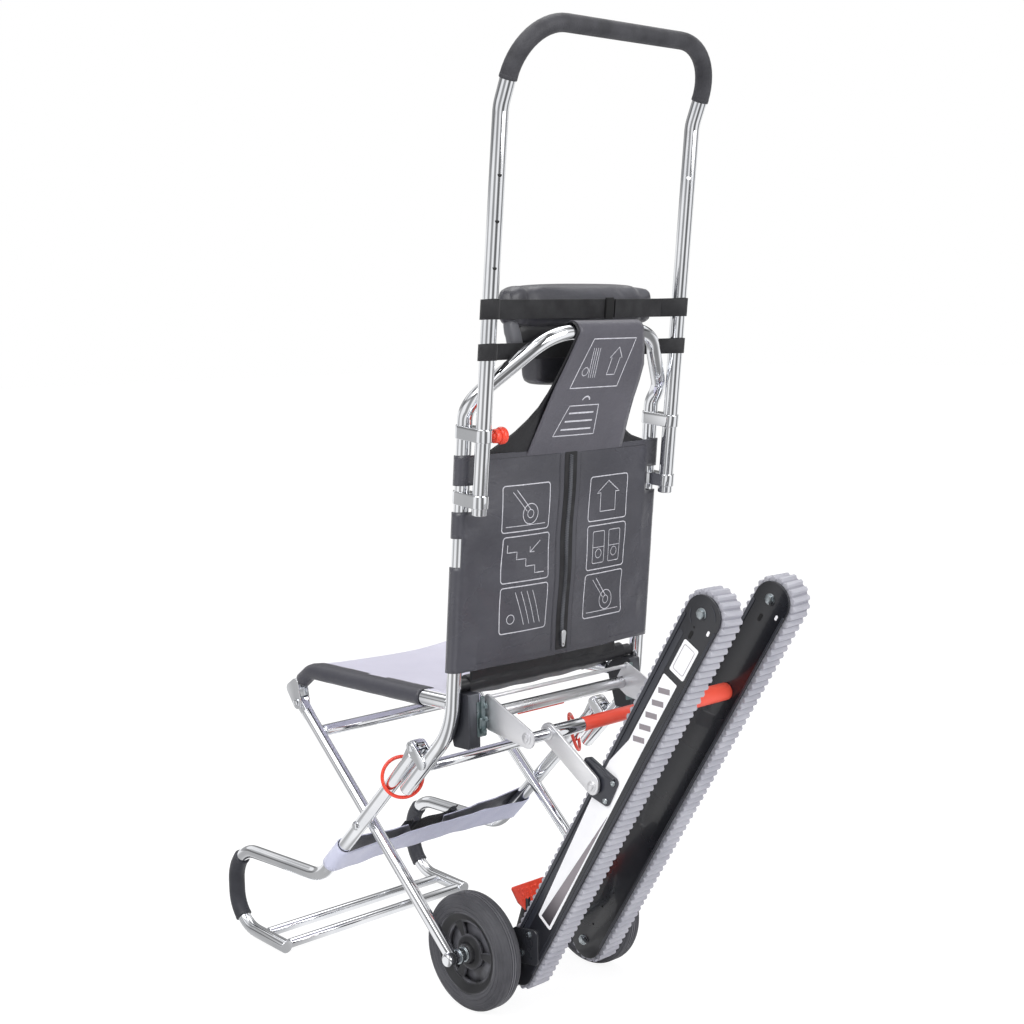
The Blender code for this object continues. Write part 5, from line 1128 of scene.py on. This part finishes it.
fork = pulled([(track(83, 0), 10), (track(54, 20), 9), (track(62, -28), 9), (AXLE, 17)], 180)[0]
mouth = unit(np.array([-22.0, 18.0]))
beside = np.array([-mouth[1], mouth[0]])
inside = ((fork - AXLE) @ mouth > 0) & (np.abs((fork - AXLE) @ beside) < 10)
first = int(np.flatnonzero(inside & ~np.roll(inside, -1))[0]) + 1
fork = np.roll(fork, -first, 0)[~np.roll(inside, -first)]
start_angle = math.atan2(*mouth[::-1])
sweep = np.linspace(start_angle - math.pi / 2, start_angle - 1.5 * math.pi, 24)
if (fork[-1] - AXLE) @ beside > 0:
    sweep = sweep[::-1]
fork = np.vstack([fork, AXLE + 8.5 * np.stack([np.cos(sweep), np.sin(sweep)], 1)])

plates = [plate([(LOW, 29.6), (HIGH, 29.6)], x, x + 3.5, 0.8, count=180) for x in (51, 91.5)]
plates += [bar(52, 94, track(17 + RUN * portion, 0), 14) for portion in (0.14, 0.5, 0.86)]
plates += [outlined(fork, 94.6, 98.5), bar(49, 97, LOW, 5), bar(49, 97, HIGH, 5)]
pair("track_plates", plates, BLACK_PAINT, "tracks", "track_frame_{}", "black_paint")


def slot_plates(*rows):
    """Raised or sunk strips on the track plates: (stations and offsets, radius, depths, edge) each."""
    return [plate([(track(*spot), radius) for spot in spots], x0, x1, edge) for spots, radius, x0, x1, edge in rows]


lips = []
for x, lift in ((95.0, 1.3), (51.0, -1.3)):
    lips += slot_plates((((36, -26.8), (682, -26.8)), 2.6, x, x + lift, 0.6),
                        (((30, 27.6), (690, 27.6)), 1.6, x, x + lift, 0.5))
lips += slot_plates((((52, -18.6), (655, -18.6)), 4.5, 94.9, 95.5, 0.3), (((44, 23), (585, 23)), 1.0, 94.9, 95.4, 0.3))
for first, last, radius in ((-2.6, -1.7, 21), (0.2, 1.2, 22)):
    turn = np.linspace(first, last, 20)
    curve = np.stack([697 + radius * np.cos(turn), radius * np.sin(turn)], 1)
    lips.append(ribbon(curve, 2.0, lambda a, b: on_track(a, b, 95.5)))
pair("track_lips", lips, RAIL_PAINT, "tracks", "", "black_paint")

# %% [markdown]
# Bolt heads stand on both faces of each unit. Slots and holes in the plates are thin dark or white
# patches laid on the paint; the dark ones are painted shade for the slots' shaded insides.

# %% Bolts, slots and windows
fixings = []
for centre, x, way in ((track(699.6, -3), 95, 1), (LOW, 98.5, 1), (track(699.4, -4), 51, -1), (track(13, -4), 51, -1)):
    fixings += hex_head((x, *centre), 6.6, 4.2, 8.2, (way, 0, 0))
for spot in ((80, -7), (44, -4)):
    fixings += hex_head((98.5, *track(*spot)), 4.2, 2.6, 5.2)
pair("track_bolts", fixings, ZINC, "tracks", slot="steel")
OUTER, INNER = (95.05, 95.4, 0.1), (50.95, 50.6, 0.1)
marks = slot_plates((((660, -3), (668, -3)), 2.6, *OUTER), (((676.5, -4),), 1.6, *OUTER),
                    (((664, -4), (671, -4)), 2.8, *INNER), (((51, -2),), 1.8, *INNER), (((90, -3),), 1.8, *INNER))
# Dark patches: painted shade inside the slots and holes of the plates.
pair("track_slots", marks, DARK_AND_HOLE_SHADE, "tracks")
holes = slot_plates((((682, 19.5), (686, 19.5)), 2.0, *OUTER), (((682, 18), (686, 18)), 2.0, *INNER))
pair("track_windows", holes, WHITE, "tracks")
drum = [(54.8, 5.4), (54.8, 28.6), (61, 28.6), (62, 26.9), (84, 26.9), (85, 28.6), (91.2, 28.6), (91.2, 5.4)]
for level, centre in (("bottom", LOW), ("top", HIGH)):
    pair(f"drum_{level}", spun(drum, (0, *centre), sides=64, closed=True), BLACK_PLASTIC, f"roller_{level}_{{}}",
         f"roller_{level}_{{}}", "black_plastic")

# %% [markdown]
# Printed film covers the outer plates: a white field that follows the rail, a grey wedge that
# darkens towards its foot, and two plain white plates. They carry no words, only plain bars. The
# wedge reads its shade from the station along the track, a dot product of position and direction.

# %% Films on the plates
WEDGE = finish("wedge_film", (140, 134, 138), (130, 124, 128), 0.3, patch=12, grain=300, bump=0.04, coat=0.3)
tree, shader, _ = parts_of(WEDGE)
along_track = node(tree, "VectorMath", {0: node(tree, "TexCoord").outputs["Object"], 1: (0.0, *map(float, TRACK_DIR))},
                   operation="DOT_PRODUCT").outputs["Value"]
foot = float(np.dot(AXLE * MM + [SHIFT[1], 0], TRACK_DIR)) + 0.118
shade = mixed(tree, ramp(tree, along_track, foot, foot + 0.075), rgb((40, 38, 42)), rgb((138, 131, 136)))
tree.links.new(shade, shader.inputs["Base Color"])
FILM_X = 95.1


def film(corners, lift, first=0.0, edge=0.15):
    """Thin plate on the outer track plate: corners are (station, offset, radius)."""
    return plate([(track(a, b), radius) for a, b, radius in corners], FILM_X + first, FILM_X + lift, edge)


on_film = lambda a, b: on_track(a, b, FILM_X + 0.7)
films = [film([(588, -10, 2), (588, 13, 2), (455, -10, 2), (455, 13, 2)], 0.62),
         film([(468, -10, 2), (468, 13, 2), (413, -23.6, 2), (121.5, -6.5, 4), (119.5, 15.5, 4)], 0.5),
         film([(651, -5, 3), (651, 17, 3), (604, -5, 3), (604, 17, 3)], 0.5)]
pair("film_white", films, WHITE, "tracks")
wedge = film([(345, 15, 0.3), (123.5, -4.2, 0.8), (121.5, 14.5, 0.8)], 0.75, 0.5, 0.1)
pair("film_wedge", wedge, WEDGE, "tracks")
bars = [ribbon(dense((s, -7.5), (s + 10, 10.5)), 8, on_film) for s in range(476, 586, 22)]
bars.append(ribbon(frame_line(607, 648, -4, 16, 3), 0.8, on_film, True))
pair("film_bars", bars, WEDGE, "tracks")

# %% [markdown]
# Two black brackets stand out from the track plates, and the flat links end on them. A red tube
# joins the two units.

# %% Brackets, cross tube and links
KNUCKLE, LINK_END, ARM_PIVOT = np.array([146.0, 446.0]), np.array([231.0, 383.0]), np.array([55.0, 466.0])
bracket = slot_plates((((396, -52), (403.5, -2)), 2, 96, 102.2, 0.8))
bracket.append(plate([(track(*spot), radius) for spot, radius in (
    ((389.6, -54), 6), ((394.7, -49), 6), ((398.4, 0), 7.5), ((365.4, 3), 7), ((356.7, -25), 6))], 95.3, 99.3, 0.8))
pair("bracket", bracket, RAIL_PAINT, "tracks", "link_bracket_{}", "black_paint")
screw = [(0, 0.4), (0, 4.6), (1.4, 4.2), (2.2, 2.6), (2.2, 1.6), (1.2, 1.5), (1.2, 0.2)]
screws = [spun(screw, (99.3, *track(*spot)), edge=0.3) for spot in ((397.5, 0), (365.5, 2.5))]
pair("bracket_screws", screws, ZINC, "tracks", slot="steel")
link = [plate([(KNUCKLE, 15), (LINK_END, 12), (LINK_END + [0, 6], 13)], 102.5, 107.5, 1.0),
        bar(100.5, 109, LINK_END, 6), bar(107.5, 109.2, KNUCKLE, 10)] + hex_head((107.5, *LINK_END), 5.6, 3.6, 7.6)
pair("flat_link", link, PLATE, "links", "link_{}", "steel")
make("red_cross_tube", bar(-50.7, 50.7, track(539.6, 4.5), 12.5), RED_PAINT, "tracks", "track_cross_tube", "red_paint")

# %% [markdown]
# ## Arm, knuckle and pedal
# Two silver plates hinge on the back frame. The knuckle shaft between them carries a red grip. A thin
# steel rod ties the plates together, and a red line runs beside the hinge tube.

# %% Arm and knuckle
arm = [plate([((66, 492), 7), ((68, 452), 7), (KNUCKLE, 15), (ARM_PIVOT, 12)], 147, 150, 0.8)]
arm += hex_head((150, *KNUCKLE), 5.0, 2.6, 8.5)
tie_rod = [bar(-146.7, 148, (63, 493), 3)]
make("silver_arm_left", arm + tie_rod, PLATE, "arm", "arm_plate_left", "steel")
make("silver_arm_right", flipped(arm), PLATE, "arm", "arm_plate_right", "steel")
make("arm_tube", bar(-146.7, 146.7, ARM_PIVOT, 9.3), SATIN, "arm", "arm_hinge_tube", "steel")
shaft = [(-146.6, 2), (-146.6, 7), (-102.2, 7), (-102.2, 10.5), (-87.7, 10.5), (-87.7, 7), (38.3, 7), (38.3, 10.5),
         (102.2, 10.5), (102.2, 7), (146.6, 7), (146.6, 2)]
make("knuckle_bar", spun(shaft, (0, *KNUCKLE), edge=0.6), CHROME, "arm", "knuckle_shaft", "chrome")
make("red_grip", bar(-82, 38, KNUCKLE, 10.5, edge=1.6), RED_PLASTIC, "arm", "knuckle_grip", "red_plastic")
make("red_line", bar(77, -20, (52.5, 454.8), 1.3, 12, 0.4), RED_PLASTIC, "arm", slot="red_plastic")

# %% [markdown]
# The pedal is a red plate on a black stem over the axle. Rows of small studs give the foot its hold:
# only the places of a grid that lie within the slanting sides get one.

# %% Pedal
corners = [((-9, 169), 3), ((55, 169), 3), ((43, 146), 3), ((27, 129), 3)]
x, z = np.meshgrid(np.arange(0, 50, 9.0), np.arange(148, 170, 8.0))
inside = (x + 9 > (169 - z) * 0.9) & (x < 52 - (169 - z) * 0.55)
studs = [spun([(0, 0.3), (0, 2.6), (1.2, 2.0), (1.2, 0.3)], (a, 11.4, b), (0, 1, 0), 18, edge=0.3)
         for a, b in zip(x[inside], z[inside])]
make("pedal_plate", [plate(corners, 8, 11.5, 0.9, front)] + studs, RED_PAINT, "pedal", "pedal", "red_paint")
make("pedal_stem", plate([(AXLE, 13.4), ((9.75, 146), 3)], 21, 31, 1.0), BLACK_PAINT, "pedal", slot="black_paint")

# %% [markdown]
# The collars tie the handle tubes to the uprights. Each is a plate pulled round both tubes, set
# square to them.

# %% Collars
axis = unit(np.array([0.0, (HANDLE_LEAN + LEAN) / 2, 1.0]))
square = np.array([0.0, axis[2], -axis[1]])
for level, height in (("upper", 881.0), ("lower", 788.4)):
    def tilted(a, b, c):
        a, b, c = (each[..., None] for each in np.broadcast_arrays(a, b, c))
        return np.array([0, 0, height]) + a * [1, 0, 0] + b * square + c * axis

    low, high = (float(y_at(height)) * axis[2] for y_at in (upright_y, handle_y))
    drop = (low + high) / 2 * axis[1]
    collar = plate([((195, low), 12.9), ((196, high), 12.9)], drop - 9.5, drop + 9.5, 1.2, tilted)
    pair(f"double_collar_{level}", collar, CHROME, "back_frame", f"collar_{level}_{{}}", "steel")

# %% [markdown]
# ## Kept CAD nodes
# The hinge blocks and the zip puller are shown as the CAD made them. Weld joins their loose
# triangles, and Bevel takes the sharpness off.

# %% Finish for kept nodes
for name, material in (("hinge_block_left", BLACK_PLASTIC), ("hinge_block_right", BLACK_PLASTIC),
                       ("zip_puller", SATIN)):
    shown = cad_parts[name]
    shown.data.materials.clear()
    shown.data.materials.append(material)
    weld = shown.modifiers.new("weld", "WELD")
    weld.merge_threshold = 1e-5
    soft = shown.modifiers.new("soft", "BEVEL")
    soft.width, soft.segments, soft.limit_method, soft.angle_limit = 0.0006, 2, "ANGLE", math.radians(40)
print("kept nodes finished")

# %% [markdown]
# ## Floor, light and camera
# The studio is white, and the floor and the world add an even fill. Real studio panels have gaps, and
# chrome shows them as dark streaks. So mirror rays meet dark uprights at a few bearings, in the floor
# as well as in the world.

# %% Floor
BEARINGS = ((18, 14, 0.66), (79, 16, 0.84), (152, 14, 0.74), (-53, 14, 0.5), (-133, 18, 0.6))
PURE_WHITE = (1, 1, 1, 1)


def uprights(tree, heading):
    """Brightness that a mirror meets towards a heading: 1, less a dip at each bearing of a dark upright."""
    parts = node(tree, "SeparateXYZ", {0: heading}).outputs
    turn = maths(tree, "ARCTAN2", parts["Y"], parts["X"])
    light = 1.0
    for bearing, half, depth in BEARINGS:
        near = maths(tree, "COSINE", maths(tree, "SUBTRACT", turn, math.radians(bearing)))
        dip = ramp(tree, near, *(math.cos(math.radians(half * share)) for share in (1.5, 0.6)), 1.0, 1.0 - depth)
        light = maths(tree, "MULTIPLY", light, dip)
    return light, parts["Z"]


def either(tree, factor, one, two):
    """Mix of two shaders."""
    return node(tree, "MixShader", {"Fac": factor, 1: one.outputs[0], 2: two.outputs[0]})


floor_mesh = bpy.data.meshes.new("floor")
floor_mesh.from_pydata([(-30, -30, 0), (30, -30, 0), (30, 30, 0), (-30, 30, 0)], [], [(0, 1, 2, 3)])
paper = bpy.data.materials.new("floor_paper")
paper.use_nodes = True
tree = paper.node_tree
tree.nodes.remove(tree.nodes["Principled BSDF"])
ray = node(tree, "LightPath").outputs
matte = node(tree, "BsdfDiffuse", {"Color": (0.86, 0.86, 0.88, 1)})
white = node(tree, "Emission", {"Color": PURE_WHITE, "Strength": 1.15})
plain = either(tree, maths(tree, "MULTIPLY", ray["Is Camera Ray"], 0.78), matte, white)
streaks = uprights(tree, node(tree, "NewGeometry").outputs["Position"])[0]
mirrored = node(tree, "Emission", {"Color": PURE_WHITE, "Strength": streaks})
last = either(tree, ray["Is Glossy Ray"], plain, mirrored)
tree.links.new(last.outputs["Shader"], tree.nodes["Material Output"].inputs["Surface"])
floor_mesh.materials.append(paper)
floor = bpy.data.objects.new("floor", floor_mesh)
bpy.context.scene.collection.objects.link(floor)
floor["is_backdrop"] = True

# %% [markdown]
# The world sends three kinds of light: an even fill for matt surfaces, the uprights and two level
# bands for mirror rays, and plain white for the camera.

# %% World
world = bpy.data.worlds.new("studio")
bpy.context.scene.world = world
world.use_nodes = True
tree = world.node_tree
tree.nodes.remove(tree.nodes["Background"])
ray = node(tree, "LightPath").outputs
streaks, height = uprights(tree, node(tree, "TexCoord").outputs["Generated"])
for low_z, high_z, depth in ((0.1, 0.3, 0.6), (0.62, 0.72, 0.5)):
    rise = ramp(tree, height, low_z - 0.04, low_z, 0.0, depth)
    fall = ramp(tree, height, high_z, high_z + 0.05, 1.0, 0.0)
    left = maths(tree, "SUBTRACT", 1.0, maths(tree, "MULTIPLY", rise, fall))
    streaks = maths(tree, "MULTIPLY", streaks, left)
mirror_light, fill, white = (node(tree, "Background", {"Color": PURE_WHITE, "Strength": strength})
                             for strength in (streaks, 0.62, 1.0))
shiny = either(tree, ray["Is Glossy Ray"], fill, mirror_light)
last = either(tree, maths(tree, "MAXIMUM", ray["Is Camera Ray"], ray["Is Transmission Ray"]), shiny, white)
tree.links.new(last.outputs["Shader"], tree.nodes["World Output"].inputs["Surface"])
print("floor and world:", len(BEARINGS), "dark uprights")

# %% [markdown]
# Three large square lamps light the chair: the main one behind it on its left, a fill behind it on
# its right, and one overhead.

# %% Lamps
def placed(name, data, x, y, z, spot):
    """Object whose axes are x, y and z and whose place is spot, as the columns of its matrix."""
    made = bpy.data.objects.new(name, data)
    bpy.context.scene.collection.objects.link(made)
    made.matrix_world = Matrix(np.column_stack([x, y, z, spot]).tolist() + [[0, 0, 0, 1]])
    return made


for name, spot, target_z, size, watts in (("key", (2.6, 0.6, 3.0), 0.7, 2.2, 66),
                                          ("rear_fill", (-0.4, 3.2, 1.9), 0.7, 2.2, 52),
                                          ("top", (-0.6, -0.8, 3.6), 0.6, 2.6, 44)):
    lamp = bpy.data.lights.new(name, "AREA")
    lamp.shape, lamp.size, lamp.energy = "SQUARE", size, watts
    away = unit(np.array(spot) - [0, 0, target_z])
    across = unit(np.cross([0, 0, 1.0], away))
    placed(name, lamp, across, np.cross(away, across), away, spot)
print("three lamps")

# %% [markdown]
# The camera stands behind the chair on its left side, a little above the seat, and is rolled by a
# degree. A lens of 58 mm on a 36 mm sensor gives the photograph's perspective.

# %% Camera
view = bpy.data.cameras.new("camera")
view.lens, view.sensor_width = 58.01, 36.0
eye = np.array([1.7357, 1.8022, 1.0260]) + SHIFT
target = np.array([0.0303, 0.0, 0.7494]) + SHIFT
away = unit(eye - target)
right = unit(np.cross([0, 0, 1.0], away))
up = np.cross(away, right)
roll = math.radians(-1.2937)
right, up = right * math.cos(roll) + up * math.sin(roll), -right * math.sin(roll) + up * math.cos(roll)
bpy.context.scene.camera = placed("camera", view, right, up, away, eye)
bpy.context.scene.view_settings.view_transform = "Standard"

# %% [markdown]
# Last comes the size of the dressed model.

# %% Sizes and finish
low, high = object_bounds()
print("visual box", [round(b - a, 4) for a, b in zip(low, high)], "m")
